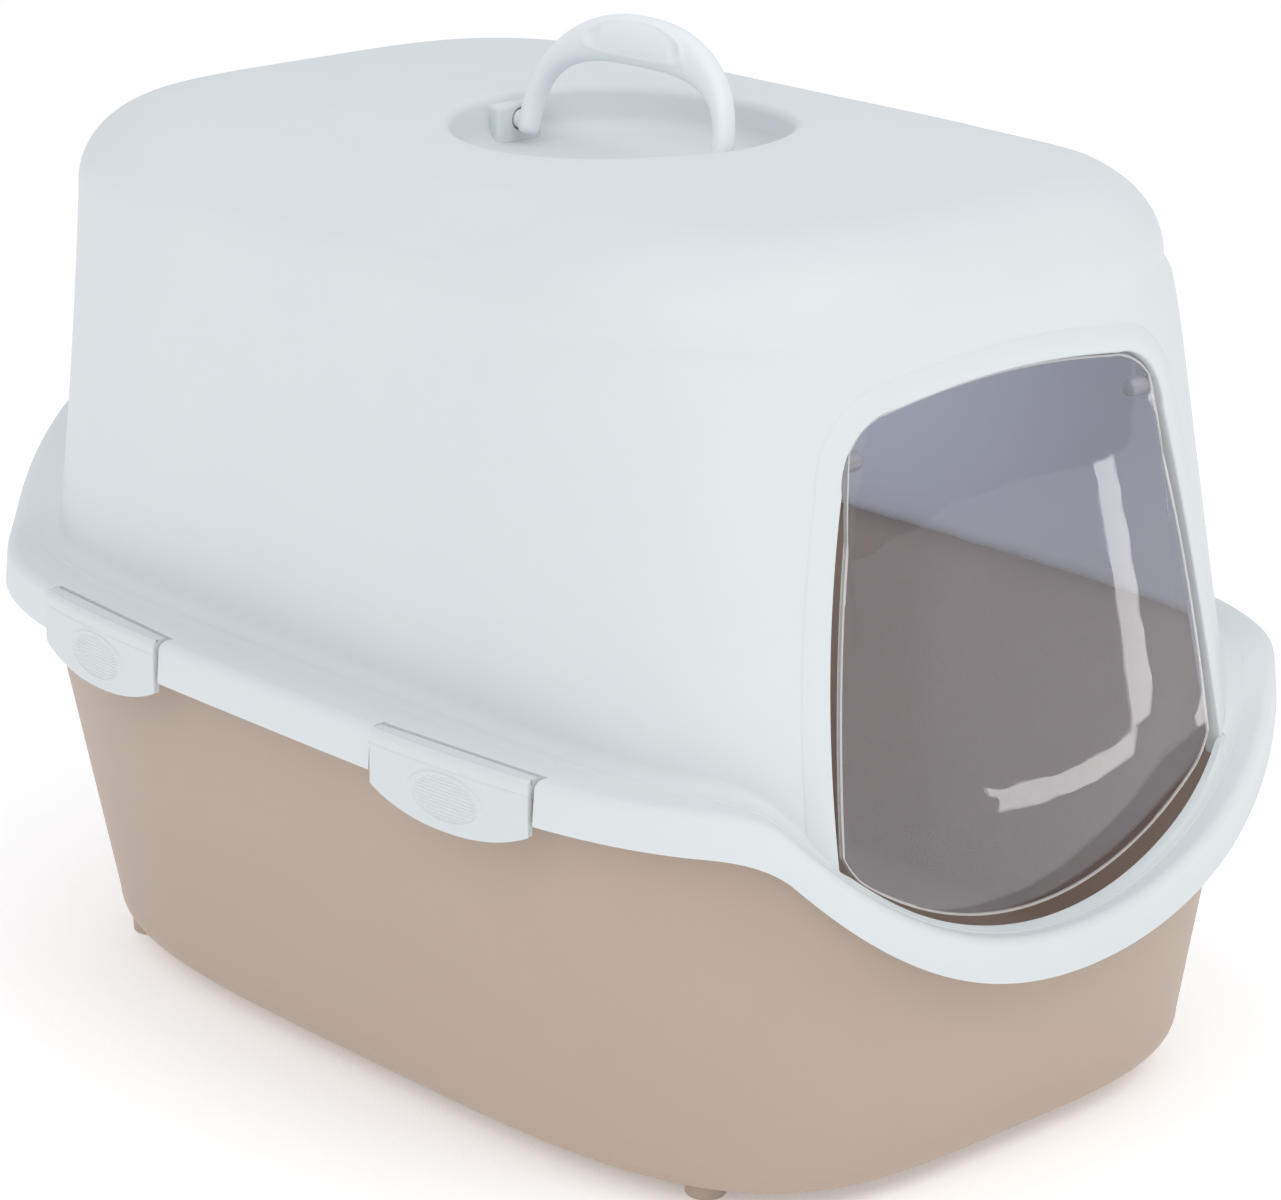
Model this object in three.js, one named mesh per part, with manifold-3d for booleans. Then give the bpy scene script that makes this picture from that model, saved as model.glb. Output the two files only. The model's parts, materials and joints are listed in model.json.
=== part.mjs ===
// Hooded litter box: a tray with a wavy rim, a hood with a clear swing door, a folding carrying
// handle and four side clips. Millimetres, +Z up. The doorway faces -Y, and the origin is on the
// floor under the middle of the rim.
import * as THREE from 'three';
import { mergeVertices } from 'three/addons/utils/BufferGeometryUtils.js';
import Module from 'manifold-3d';

const wasm = await Module();
wasm.setup();

// Overall sizes
const width = 400; // across the skirt of the hood, along X
const length = 560; // front to back over the skirt, along Y
const rimHeight = 169.3; // lower edge of the skirt along the sides
const roofHeight = 392; // edge of the roof, where its fillet ends

// Walls, clearances
const wall = 2.5; // hood and tray wall
const rimClearance = 0.8; // flange above the tray's lip
const slideClearance = 0.3; // pins in their holes, nibs beside the lip
const pinEndGap = 1.5; // beyond a pin's end in its blind hole
const joinDepth = 1; // how far joined solids run into each other
const cutReach = 10; // how far cutting solids run past a surface

// Rim outline and its wave: the entry dips at the front, and the rear rises
const rimFrontSquare = 3.74; // corner squareness: 2 is an ellipse, high is a rectangle
const rimRearSquare = 3.63;
const frontDip = 75.9;
const rearRise = 76;
const waveInset = 33; // where the wave ends, in from the skirt's side
const waveShoulder = 32; // radius where the wave meets the level sides

// Skirt and flange of the hood
const skirtHeight = 18.5; // lower edge to the flange's top face
const skirtDraft = 1.2;
const skirtCorner = 4; // rounding between skirt and flange
const wallFillet = 6.5; // flange to hood wall

// Hood wall and roof
const frontSetback = 54.4; // eave in from the skirt's front
const rearSetback = 38.9; // eave in from the skirt's rear
const frontFlare = 35; // how far the front wall leans out at the bottom
const rearFlare = 26;
const sideFlare = 4;
const flareSpan = 223.5; // height over which the walls lean
const flarePower = 1.35;
const eaveInset = 40.5; // eave in from the skirt's side
const eaveFrontSquare = 3.9;
const eaveRearSquare = 4.2;
const footFrontSquare = 6;
const footRearSquare = 4.8;
const roofFillet = 38.6;
const roofCrown = 6;

// Finger grooves along both roof edges
const grooveDepth = 6;
const grooveHalfLength = 145;
const grooveMiddle = -9; // along Y
const grooveTilt = 60; // degrees round the roof's fillet to its middle
const grooveSpread = 32; // and from there to where it fades out

// Tray
const footHeight = 5.85;
const footRadius = 8.5;
const footInsetX = 78; // from the skirt's side
const footInsetY = 93; // from the skirt's ends
const trayBaseInset = 37.9; // base in from the skirt's side
const trayBaseFront = 29.7;
const trayBaseRear = 49.5;
const trayBaseSquare = 3.9;
const trayBaseFillet = 19.3;
const trayTopInset = 15.7; // wall under the lip, in from the skirt's side
const trayTopEndInset = 11.9;
const lipInset = 11; // lip in from the skirt's side
const lipEndInset = 5;
const lipHeight = 6;

// Doorway and door
const doorwayDrop = 60.7; // roof edge down to the top of the doorway
const doorwaySill = 114; // half width at the sill
const doorwayPinch = 23; // how much narrower each side is at the pivot
const doorwayPinchPower = 2.3;
const doorwayCorner = 28.5;
const doorwayCrown = 4.8; // rise of the top edge at its middle
const doorwayLip = 8.5; // depth of the turned-in edge
const sillWidth = 18.5; // flange in front of the doorway
const doorGap = 4; // beside the door
const doorPivotGap = 2; // further in beside the pivots, for the swing
const doorTopGap = 1.5;
const doorSillGap = 3;
const doorThickness = 1.8;
const doorCorner = 24; // reach of the rounded lower corners
const doorBulge = 4;
const doorBend = 28; // width of the turned-back edges
const doorTopSetback = 4.5; // door's edge behind the hood's front face, at the top
const doorLean = 32.2; // how much further forward its lower edge is
const pivotDrop = 23.3; // pivot below the top of the doorway
const pivotRecess = 9.2; // pivot behind the hood's front face
const pivotRadius = 3;
const pivotLength = 6;
const knuckleRadius = 5; // boss on the door at the root of each pin
const knuckleLength = 9;
const lugFront = 4.5; // lug ahead of the pivot
const lugHalf = 7; // lug behind it, above and below

// Handle and its recess in the roof
const recessRadius = 75;
const recessDepth = 16;
const recessMiddle = -2; // along Y
const recessFillet = 8; // floor to wall
const recessTaper = 3; // narrower at the floor
const recessFlare = 4; // wider at the mouth
const handleSpan = 119; // between the middles of the legs
const handleRise = 54.5; // pivot to the top of the grip
const handleUnder = 32.5; // pivot to the underside of the grip
const legThickness = 8;
const legWidth = 10;
const gripWidth = 13;
const handlePivotDrop = 6; // below the roof's edge
const handlePinRadius = 4.3;
const handlePinLength = 7;
const handleSideGap = 2; // leg to pivot block
const handleLean = 16; // degrees, at rest
const blockWidth = 26;
const blockDrop = 1.5; // top of the pivot blocks below the roof's edge

// Side clips
const clipLength = 88;
const clipMiddle = 0.2071 * length; // along Y, forward and behind
const clipGap = 3; // at each end
const clipProud = 0.6; // outside the skirt
const clipPlate = 2.8;
const clipDrop = 28; // hinge to the lower edge, at the middle
const clipEndDrop = 19; // hinge to the lower edge, at the ends
const clipHingeInset = 4.6;
const clipHingeDrop = 3.8; // below the flange's top face
const clipBarrel = 3.6;
const clipPinRadius = 1.5;
const clipPinLength = 3.6;
const clipLugWall = 1.4; // lug beyond the pin's hole
const clipTop = 4.4; // plate above the hinge
const nibHeight = 3;
const nibLength = 46;
const padLength = 42;
const padHeight = 21;
const padRaise = 0.8;

// Facets
const around = 64; // points round the plan
const round = 16; // sides of small cylinders

const flangeTop = rimHeight + skirtHeight;
const eaveHeight = roofHeight - roofFillet;
const doorwayTop = roofHeight - doorwayDrop;
const pivotHeight = doorwayTop - pivotDrop;
const handlePivot = roofHeight - handlePivotDrop;
const clipHinge = flangeTop - clipHingeDrop;

const mix = (a, b, t) => a + (b - a) * t;
const limit = (v, low, high) => Math.min(high, Math.max(low, v));
const sweep = (steps, angle = Math.PI / 2) => (
  Array.from({ length: steps + 1 }, (_, k) => angle * k / steps)
);

// Solids: a geometry as a manifold, and back again
const toSolid = (geometry) => {
  const bare = geometry.clone();
  bare.deleteAttribute('normal');
  bare.deleteAttribute('uv');
  const merged = mergeVertices(bare, 1e-4);
  return new wasm.Manifold(new wasm.Mesh({
    numProp: 3,
    vertProperties: new Float32Array(merged.attributes.position.array),
    triVerts: new Uint32Array(merged.index.array),
  }));
};

const toGeometry = (solid) => {
  const mesh = solid.getMesh();
  const geometry = new THREE.BufferGeometry();
  geometry.setAttribute('position', new THREE.BufferAttribute(mesh.vertProperties, 3));
  geometry.setIndex(new THREE.BufferAttribute(mesh.triVerts, 1));
  geometry.computeVertexNormals();
  return geometry;
};

const spread = (p, q) => (p[0] - q[0]) ** 2 + (p[1] - q[1]) ** 2 + (p[2] - q[2]) ** 2;

// A closed skin over rows of points, from a first point to a last one
const loft = (first, rows, last) => {
  const n = rows[0].length;
  const points = [first, ...rows.flat(), last];
  const end = points.length - 1;
  const index = [];
  for (let j = 0; j < n; j += 1) {
    const k = (j + 1) % n;
    index.push(0, 1 + k, 1 + j);
    index.push(end, end - n + j, end - n + k);
    for (let i = 0; i + 1 < rows.length; i += 1) {
      const [a, b] = [1 + i * n + j, 1 + i * n + k];
      const [c, d] = [b + n, a + n];
      const split = spread(points[a], points[c]) < spread(points[b], points[d]);
      index.push(...(split ? [a, b, c, a, c, d] : [a, b, d, b, c, d]));
    }
  }
  let volume = 0;
  for (let i = 0; i < index.length; i += 3) {
    const [p, q, r] = [points[index[i]], points[index[i + 1]], points[index[i + 2]]];
    volume += p[0] * (q[1] * r[2] - q[2] * r[1]) + p[1] * (q[2] * r[0] - q[0] * r[2])
      + p[2] * (q[0] * r[1] - q[1] * r[0]);
  }
  const geometry = new THREE.BufferGeometry();
  geometry.setAttribute('position', new THREE.Float32BufferAttribute(points.flat(), 3));
  geometry.setIndex(volume > 0 ? index : index.reverse());
  return toSolid(geometry);
};

const cylinderAlong = (start, end, radius, sides = round) => {
  const from = new THREE.Vector3(...start);
  const to = new THREE.Vector3(...end);
  const geometry = new THREE.CylinderGeometry(radius, radius, from.distanceTo(to), sides);
  const turn = new THREE.Quaternion().setFromUnitVectors(
    new THREE.Vector3(0, 1, 0),
    to.clone().sub(from).normalize(),
  );
  geometry.applyQuaternion(turn);
  geometry.translate(...from.add(to).multiplyScalar(0.5).toArray());
  return toSolid(geometry);
};

const block = (low, high) => {
  const size = high.map((v, i) => v - low[i]);
  const geometry = new THREE.BoxGeometry(...size);
  geometry.translate(...high.map((v, i) => (v + low[i]) / 2));
  return toSolid(geometry);
};

// A prism of an outline drawn in X and Z, reaching along Y
const prismAlongY = (outline, yLow, yHigh) => {
  const shape = new THREE.Shape(outline.map(([x, z]) => new THREE.Vector2(x, z)));
  const geometry = new THREE.ExtrudeGeometry(shape, { depth: yHigh - yLow, bevelEnabled: false });
  geometry.rotateX(Math.PI / 2);
  geometry.translate(0, yHigh, 0);
  return toSolid(geometry);
};

// Plan outlines: a half width, a front and a rear reach, and the squareness of the corners
const plan = (half, front, rear, frontSquare, rearSquare) => (
  { half, front, rear, frontSquare, rearSquare }
);
const inset = (p, d, ends = d) => plan(
  p.half - d,
  p.front + ends,
  p.rear - ends,
  p.frontSquare,
  p.rearSquare,
);
const planPoint = (p, j) => {
  const angle = 2 * Math.PI * j / around;
  const [c, s] = [Math.cos(angle), Math.sin(angle)];
  const n = s < 0 ? p.frontSquare : p.rearSquare;
  const reach = (Math.abs(c) ** n + Math.abs(s) ** n) ** (-1 / n);
  const middle = (p.front + p.rear) / 2;
  return [p.half * c * reach, middle + (p.rear - p.front) / 2 * s * reach];
};
const row = (point) => Array.from({ length: around }, (_, j) => point(j));

const rimPlan = plan(width / 2, -length / 2, length / 2, rimFrontSquare, rimRearSquare);

// Height of the rim's wave at a place: a hollow arc with rounded shoulders
const waveArc = (x, depth) => {
  const half = width / 2 - waveInset;
  const both = (half ** 2 + depth ** 2) / (2 * depth);
  const hollow = both - waveShoulder;
  const turn = half * hollow / both;
  const reach = Math.abs(x);
  if (reach < turn) return depth - hollow + Math.sqrt(hollow ** 2 - reach ** 2);
  if (reach < half) return waveShoulder - Math.sqrt(waveShoulder ** 2 - (half - reach) ** 2);
  return 0;
};
// The wave at a place is that of the rim straight out from it, seen from the middle
const wave = ([x, y]) => {
  const n = y < 0 ? rimFrontSquare : rimRearSquare;
  const reach = (Math.abs(2 * x / width) ** n + Math.abs(2 * y / length) ** n) ** (-1 / n);
  return y < 0 ? -waveArc(x * reach, frontDip) : waveArc(x * reach, rearRise);
};

// A row on the rim, at a level and an inset from the skirt
const rimRow = (p, z) => row((j) => {
  const at = planPoint(p, j);
  return [...at, z + wave(at)];
});

// ---- Hood
const wallPlan = (z, t) => {
  const down = limit((eaveHeight - z) / flareSpan, 0, 1.2);
  const flare = down ** flarePower;
  return plan(
    width / 2 - eaveInset + sideFlare * down - t,
    -length / 2 + frontSetback - frontFlare * flare + t,
    length / 2 - rearSetback + rearFlare * flare - t,
    mix(eaveFrontSquare, footFrontSquare, limit(down, 0, 1) ** 0.5),
    mix(eaveRearSquare, footRearSquare, limit(down, 0, 1)),
  );
};

const wallPoint = (j, share, t) => {
  let z = flangeTop;
  let at = [0, 0];
  for (let k = 0; k < 6; k += 1) {
    at = planPoint(wallPlan(z, t), j);
    z = mix(flangeTop + wallFillet + wave(at), eaveHeight, share);
  }
  return [...at, z];
};

// The wall's foot: a fillet out on to the flange, at an angle from the wall
const footPoint = (j, angle, t) => {
  const foot = wallPoint(j, 0, 0);
  const out = wallFillet - (wallFillet + t) * Math.cos(angle);
  const at = planPoint(inset(wallPlan(foot[2], 0), -out), j);
  return [...at, flangeTop + wallFillet - (wallFillet + t) * Math.sin(angle) + wave(at)];
};

// Level part of the flange, a share of the way from the foot out to a ring on the rim
const flangePoint = (j, ring, share, t) => {
  const foot = footPoint(j, Math.PI / 2, t);
  const edge = planPoint(ring, j);
  const at = [mix(foot[0], edge[0], share), mix(foot[1], edge[1], share)];
  return [...at, flangeTop - t + wave(at)];
};

// Finger grooves: how far the roof's fillet is sunk, at an angle round it and along Y
const grooveSink = (angle, y) => {
  const across = THREE.MathUtils.radToDeg(angle) - grooveTilt;
  const along = (y - grooveMiddle) / grooveHalfLength;
  const share = [across / grooveSpread, along].map((v) => Math.cos(Math.PI / 2 * limit(v, -1, 1)));
  return grooveDepth * share[0] * share[1];
};

const roofRows = (t) => {
  const eave = wallPlan(eaveHeight, 0);
  const rows = [];
  const top = inset(eave, roofFillet);
  for (const share of [0.35, 0.7]) {
    const shrunk = inset(top, top.half * (1 - share), (top.rear - top.front) / 2 * (1 - share));
    const z = roofHeight - t + roofCrown * (1 - share ** 2) ** 2;
    rows.push(row((j) => [...planPoint(shrunk, j), z]));
  }
  for (const angle of sweep(5).reverse()) {
    const bend = roofFillet - t;
    const ring = inset(eave, roofFillet - bend * Math.cos(angle));
    rows.push(row((j) => {
      const [x, y] = planPoint(ring, j);
      const sink = grooveSink(angle, y);
      const sunk = x - Math.sign(x) * sink * Math.cos(angle);
      return [sunk, y, eaveHeight + (bend - sink) * Math.sin(angle)];
    }));
  }
  return rows;
};

const hoodRows = (t, shares) => [
  ...roofRows(t),
  ...shares.map((share) => row((j) => wallPoint(j, share, t))),
  ...sweep(3).slice(1).map((angle) => row((j) => footPoint(j, angle, t))),
];

const hoodSkin = () => {
  const rows = hoodRows(0, [0.8, 0.6, 0.4, 0.2, 0]);
  rows.push(row((j) => flangePoint(j, inset(rimPlan, skirtDraft + skirtCorner), 0.5, 0)));
  for (const angle of sweep(3).reverse()) {
    const ring = inset(rimPlan, skirtDraft + skirtCorner * (1 - Math.cos(angle)));
    rows.push(rimRow(ring, flangeTop - skirtCorner * (1 - Math.sin(angle))));
  }
  rows.push(rimRow(rimPlan, rimHeight));
  return loft([0, 0, roofHeight + roofCrown], rows, [0, 0, rimHeight]);
};

const hoodHollow = () => {
  const rows = hoodRows(wall, [0.66, 0.33, 0]);
  const corner = skirtCorner - wall;
  const edge = inset(rimPlan, wall + skirtDraft + corner);
  rows.push(...[0.35, 0.7].map((share) => row((j) => flangePoint(j, edge, share, wall))));
  for (const angle of sweep(1).reverse()) {
    const ring = inset(rimPlan, wall + skirtDraft + corner * (1 - Math.cos(angle)));
    rows.push(rimRow(ring, flangeTop - wall - corner * (1 - Math.sin(angle))));
  }
  const below = skirtHeight / 3;
  rows.push(rimRow(inset(rimPlan, wall), rimHeight - below));
  const middle = [0, 0, rimHeight - 3 * below];
  return loft([0, 0, roofHeight + roofCrown - wall], rows, middle);
};

// Round recess under the handle
const recess = (t) => {
  const floor = roofHeight - recessDepth - t;
  const bend = recessFillet + t;
  const out = recessRadius + t;
  const profile = [new THREE.Vector2(0, floor)];
  for (const angle of sweep(4)) {
    const x = out - recessTaper - bend * (1 - Math.sin(angle));
    profile.push(new THREE.Vector2(x, floor + bend * (1 - Math.cos(angle))));
  }
  profile.push(new THREE.Vector2(out - recessTaper / 3, roofHeight));
  profile.push(new THREE.Vector2(out + recessFlare, roofHeight + roofCrown));
  profile.push(new THREE.Vector2(out + recessFlare, roofHeight + 3 * roofCrown));
  profile.push(new THREE.Vector2(0, roofHeight + 3 * roofCrown));
  const geometry = new THREE.LatheGeometry(profile, 2 * round);
  geometry.rotateX(Math.PI / 2);
  geometry.translate(0, recessMiddle, 0);
  return toSolid(geometry);
};

const blockFace = handleSpan / 2 + legThickness / 2 + handleSideGap;

const pivotBlocks = () => [-1, 1].map((end) => {
  const reach = [recessMiddle + end * blockFace, recessMiddle + end * (recessRadius + joinDepth)];
  const low = roofHeight - recessDepth - wall;
  return block(
    [-blockWidth / 2, Math.min(...reach), low],
    [blockWidth / 2, Math.max(...reach), roofHeight - blockDrop],
  );
});

const handleHoles = () => [-1, 1].map((end) => cylinderAlong(
  [0, recessMiddle + end * (blockFace - joinDepth), handlePivot],
  [0, recessMiddle + end * (blockFace + handlePinLength), handlePivot],
  handlePinRadius + slideClearance,
));

// Doorway outline, grown or shrunk all round
const doorwayHalf = (z) => {
  const sill = flangeTop - frontDip;
  const up = limit((z - sill) / (pivotHeight - sill), 0, 1);
  return doorwaySill - doorwayPinch * up ** doorwayPinchPower;
};
const cornerHeight = doorwayTop - doorwayCorner - doorwayCrown;
const cornerMiddle = doorwayHalf(cornerHeight) - doorwayCorner;

const doorwaySide = (bottom, grow) => {
  const side = sweep(8, 1).map((share) => {
    const z = mix(bottom, cornerHeight, share);
    return [doorwayHalf(z) + grow, z];
  });
  for (const angle of sweep(6).slice(1)) {
    const radius = doorwayCorner + grow;
    side.push([cornerMiddle + radius * Math.cos(angle), cornerHeight + radius * Math.sin(angle)]);
  }
  return side;
};
const bothSides = (side, middleTop) => [
  ...side,
  [0, middleTop],
  ...side.map(([x, z]) => [-x, z]).reverse(),
];

// Top of the sill across the doorway, at its inner edge
const sillPlan = inset(rimPlan, sillWidth);
const sillTop = (x) => {
  const back = (1 - Math.abs(x / sillPlan.half) ** rimFrontSquare) ** (1 / rimFrontSquare);
  return flangeTop + wave([x, sillPlan.front * back]);
};

const doorwayCuts = () => {
  const foot = sillTop(doorwaySill);
  const side = doorwaySide(foot, 0);
  const low = sweep(12, 1).slice(1, -1).map((share) => {
    const x = mix(-doorwaySill, doorwaySill, share);
    return [x, sillTop(x) + slideClearance];
  });
  const upper = prismAlongY(
    [...bothSides(side, doorwayTop), ...low],
    -length / 2 - cutReach,
    -length / 2 + frontSetback + doorwayLip + cutReach,
  );
  const below = prismAlongY(
    bothSides(doorwaySide(foot - frontDip, 0), doorwayTop),
    -length / 2,
    -length / 2 + frontSetback + doorwayLip + cutReach,
  );
  const levels = [0, roofHeight].map((z) => row((j) => [...planPoint(sillPlan, j), z]));
  return [upper, below.intersect(loft([0, 0, 0], levels, [0, 0, roofHeight]))];
};

// Turned-in edge round the doorway, as deep as its lip behind the front face
const doorwayEdge = (skin) => {
  const foot = sillTop(doorwaySill) + wallFillet;
  const outer = prismAlongY(
    bothSides(doorwaySide(foot, wall), doorwayTop + wall),
    -length / 2,
    -length / 4,
  );
  const slab = skin.subtract(skin.translate([0, doorwayLip, 0]));
  return outer.intersect(slab);
};

const frontFace = (z) => wallPlan(z, 0).front;
const pivotAt = frontFace(pivotHeight) + pivotRecess;
const pivotHalf = doorwayHalf(pivotHeight);

const doorLugs = () => [-1, 1].map((side) => {
  const reach = [side * pivotHalf, side * (pivotHalf + pivotLength + joinDepth)];
  return block(
    [Math.min(...reach), pivotAt - lugFront, pivotHeight - lugHalf],
    [Math.max(...reach), pivotAt + lugHalf, pivotHeight + lugHalf],
  );
});

const doorHoles = () => [-1, 1].map((side) => cylinderAlong(
  [side * (pivotHalf - doorGap), pivotAt, pivotHeight],
  [side * (pivotHalf + pivotLength), pivotAt, pivotHeight],
  pivotRadius + slideClearance,
));

// Places along the rim at a clip: a point at an offset outside the skirt, by distance along Y
const rimPlace = (side, y, out) => {
  const n = y < 0 ? rimFrontSquare : rimRearSquare;
  const [a, b] = [width / 2, length / 2];
  const x = a * (1 - Math.abs(y / b) ** n) ** (1 / n);
  const normal = new THREE.Vector2(
    (x / a) ** (n - 1) / a,
    Math.sign(y) * Math.abs(y / b) ** (n - 1) / b,
  ).normalize();
  return [side * (x + normal.x * out), y + normal.y * out];
};

const hingeLine = (side, end) => {
  const ends = [-0.5, 0.5].map((share) => (
    rimPlace(side, end * clipMiddle + share * clipLength, -clipHingeInset)
  ));
  const middle = ends[0].map((v, i) => (v + ends[1][i]) / 2);
  const along = new THREE.Vector2(ends[1][0] - ends[0][0], ends[1][1] - ends[0][1]).normalize();
  return (distance) => [
    middle[0] + along.x * distance,
    middle[1] + along.y * distance,
    clipHinge,
  ];
};

// A box beside the hinge line: from and to along it, and reaching inwards and outwards
const boxOnHinge = (side, end, from, to, inward, outward, low, high) => {
  const line = hingeLine(side, end);
  const [start, stop] = [line(from), line(to)];
  const out = new THREE.Vector2(stop[1] - start[1], start[0] - stop[0]).normalize();
  const [nx, ny] = [out.x * side, out.y * side];
  const rows = [low, high].map((z) => [
    [start[0] - nx * inward, start[1] - ny * inward, z],
    [start[0] + nx * outward, start[1] + ny * outward, z],
    [stop[0] + nx * outward, stop[1] + ny * outward, z],
    [stop[0] - nx * inward, stop[1] - ny * inward, z],
  ]);
  const middle = (points) => [0, 1, 2].map((i) => points.reduce((sum, p) => sum + p[i] / 4, 0));
  return loft(middle(rows[0]), rows, middle(rows[1]));
};

const corners = [[-1, -1], [1, -1], [-1, 1], [1, 1]]; // side, end
const slotHalf = clipLength / 2 + clipGap;

const clipSlots = () => corners.map(([side, end]) => boxOnHinge(
  side,
  end,
  -slotHalf,
  slotHalf,
  clipTop + slideClearance,
  clipHingeInset + cutReach,
  rimHeight - cutReach,
  flangeTop + cutReach,
));

const clipLugs = () => corners.flatMap(([side, end]) => [-1, 1].map((tip) => {
  const reach = [tip * slotHalf, tip * (slotHalf + clipPinLength + clipLugWall)];
  return boxOnHinge(
    side,
    end,
    Math.min(...reach),
    Math.max(...reach),
    clipBarrel,
    clipHingeInset - skirtDraft,
    clipHinge - clipBarrel,
    flangeTop - wall / 2,
  );
}));

const clipHoles = () => corners.flatMap(([side, end]) => [-1, 1].map((tip) => {
  const line = hingeLine(side, end);
  return cylinderAlong(
    line(tip * (slotHalf - joinDepth)),
    line(tip * (slotHalf + clipPinLength + slideClearance)),
    clipPinRadius + slideClearance,
  );
}));

const cutAll = (solid, cuts) => cuts.reduce((rest, cut) => rest.subtract(cut), solid);
const addAll = (solid, parts) => parts.reduce((whole, piece) => whole.add(piece), solid);

const hoodSolid = () => {
  const bare = hoodSkin();
  const shell = bare.subtract(recess(0)).subtract(hoodHollow().subtract(recess(wall)));
  let hood = addAll(shell, [doorwayEdge(bare), ...doorLugs()]);
  hood = addAll(cutAll(hood, doorwayCuts()), pivotBlocks());
  hood = addAll(cutAll(hood, clipSlots()), clipLugs());
  return cutAll(hood, [...handleHoles(), ...doorHoles(), ...clipHoles()]);
};

// ---- Tray
const trayBase = plan(
  width / 2 - trayBaseInset,
  -length / 2 + trayBaseFront,
  length / 2 - trayBaseRear,
  trayBaseSquare,
  trayBaseSquare,
);
const lipTop = flangeTop - wall - rimClearance;

const trayPoint = (j, share, t) => {
  const top = planPoint(inset(rimPlan, trayTopInset + t, trayTopEndInset + t), j);
  const base = planPoint(inset(trayBase, t), j);
  const z = mix(footHeight + trayBaseFillet, lipTop - lipHeight + wave(top), share);
  return [mix(base[0], top[0], share), mix(base[1], top[1], share), z];
};

const trayBottomRows = (t) => sweep(4).slice(0, -1).map((angle) => {
  const bend = trayBaseFillet - t;
  const ring = inset(trayBase, trayBaseFillet - bend * Math.sin(angle));
  const z = footHeight + trayBaseFillet - bend * Math.cos(angle);
  return row((j) => [...planPoint(ring, j), z]);
});

const traySolid = () => {
  const shares = [0, 0.35, 0.7, 1];
  const lip = inset(rimPlan, lipInset, lipEndInset);
  const mouth = inset(rimPlan, trayTopInset + wall, trayTopEndInset + wall);
  const rows = [
    ...trayBottomRows(0),
    ...shares.map((share) => row((j) => trayPoint(j, share, 0))),
    rimRow(lip, lipTop - lipHeight),
    rimRow(lip, lipTop),
    rimRow(mouth, lipTop),
    ...shares.slice(0, -1).reverse().map((share) => row((j) => trayPoint(j, share, wall))),
    ...trayBottomRows(wall).reverse(),
  ];
  const middle = (trayBase.front + trayBase.rear) / 2;
  const shell = loft([0, middle, footHeight], rows, [0, middle, footHeight + wall]);
  const footX = width / 2 - footInsetX;
  const footY = length / 2 - footInsetY;
  const feet = corners.map(([side, end]) => cylinderAlong(
    [side * footX, end * footY, 0],
    [side * footX, end * footY, footHeight + wall / 2],
    footRadius,
  ));
  return addAll(shell, feet);
};

// ---- Door
const doorEdgeY = (z) => {
  const down = (doorwayTop - z) / (doorwayTop - sillTop(0));
  return frontFace(doorwayTop) + doorTopSetback - doorLean * down;
};

const doorTopAt = (x) => {
  const past = Math.abs(x) - cornerMiddle;
  const radius = doorwayCorner - doorTopGap;
  if (past <= 0) return cornerHeight + radius + doorwayCrown * (1 - (x / cornerMiddle) ** 2);
  return cornerHeight + Math.sqrt(Math.max(0, radius ** 2 - past ** 2));
};
const doorBottomAt = (x) => {
  const past = Math.max(0, Math.abs(x) - doorwaySill + doorGap + doorCorner) / doorCorner;
  return sillTop(x) + doorSillGap + doorCorner / 2 * past ** 3;
};

const bendShare = (distance) => {
  const t = limit(distance / doorBend, 0, 1);
  return 1 - (1 - t) ** 2.4;
};

const doorPoint = (across, up) => {
  const low = doorBottomAt(doorwaySill - doorGap);
  const half = doorwayHalf(mix(low, cornerHeight, up)) - doorGap - doorPivotGap * up ** 6;
  const x = across * half;
  const [bottom, top] = [doorBottomAt(x), doorTopAt(x)];
  const z = mix(bottom, top, up);
  const bulge = bendShare(half - Math.abs(x)) * bendShare(z - bottom) * bendShare(top - z);
  return [x, doorEdgeY(z) - doorBulge * bulge, z];
};

// A closed slab between two grids of points that face each other
const slab = (front, back) => {
  const [levels, columns] = [front.length, front[0].length];
  const points = [...front.flat(), ...back.flat()];
  const count = levels * columns;
  const index = [];
  const quad = (a, b, c, d) => index.push(a, b, c, a, c, d);
  for (let i = 0; i + 1 < levels; i += 1) {
    for (let k = 0; k + 1 < columns; k += 1) {
      const a = i * columns + k;
      quad(a, a + 1, a + columns + 1, a + columns);
      quad(a + count, a + count + columns, a + count + columns + 1, a + count + 1);
    }
    const [left, right] = [i * columns, (i + 1) * columns - 1];
    quad(left, left + columns, left + columns + count, left + count);
    quad(right, right + count, right + columns + count, right + columns);
  }
  for (let k = 0; k + 1 < columns; k += 1) {
    const top = (levels - 1) * columns + k;
    quad(k, k + count, k + 1 + count, k + 1);
    quad(top, top + 1, top + 1 + count, top + count);
  }
  const geometry = new THREE.BufferGeometry();
  geometry.setAttribute('position', new THREE.Float32BufferAttribute(points.flat(), 3));
  geometry.setIndex(index);
  return toSolid(geometry);
};

const doorSolid = () => {
  const across = sweep(14, Math.PI).map((angle) => -Math.cos(angle));
  const face = (back) => sweep(12, 1).map((up) => across.map((u) => {
    const [x, y, z] = doorPoint(u, up);
    return [x, y + back, z];
  }));
  const panel = slab(face(0), face(doorThickness));
  const edge = pivotHalf - doorGap;
  const knuckles = [-1, 1].flatMap((side) => [
    cylinderAlong(
      [side * (edge - knuckleLength), pivotAt, pivotHeight],
      [side * edge, pivotAt, pivotHeight],
      knuckleRadius,
    ),
    cylinderAlong(
      [side * (edge - knuckleLength / 2), pivotAt, pivotHeight],
      [side * (pivotHalf + pivotLength - pinEndGap), pivotAt, pivotHeight],
      pivotRadius,
    ),
  ]);
  return addAll(panel, knuckles);
};

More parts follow.
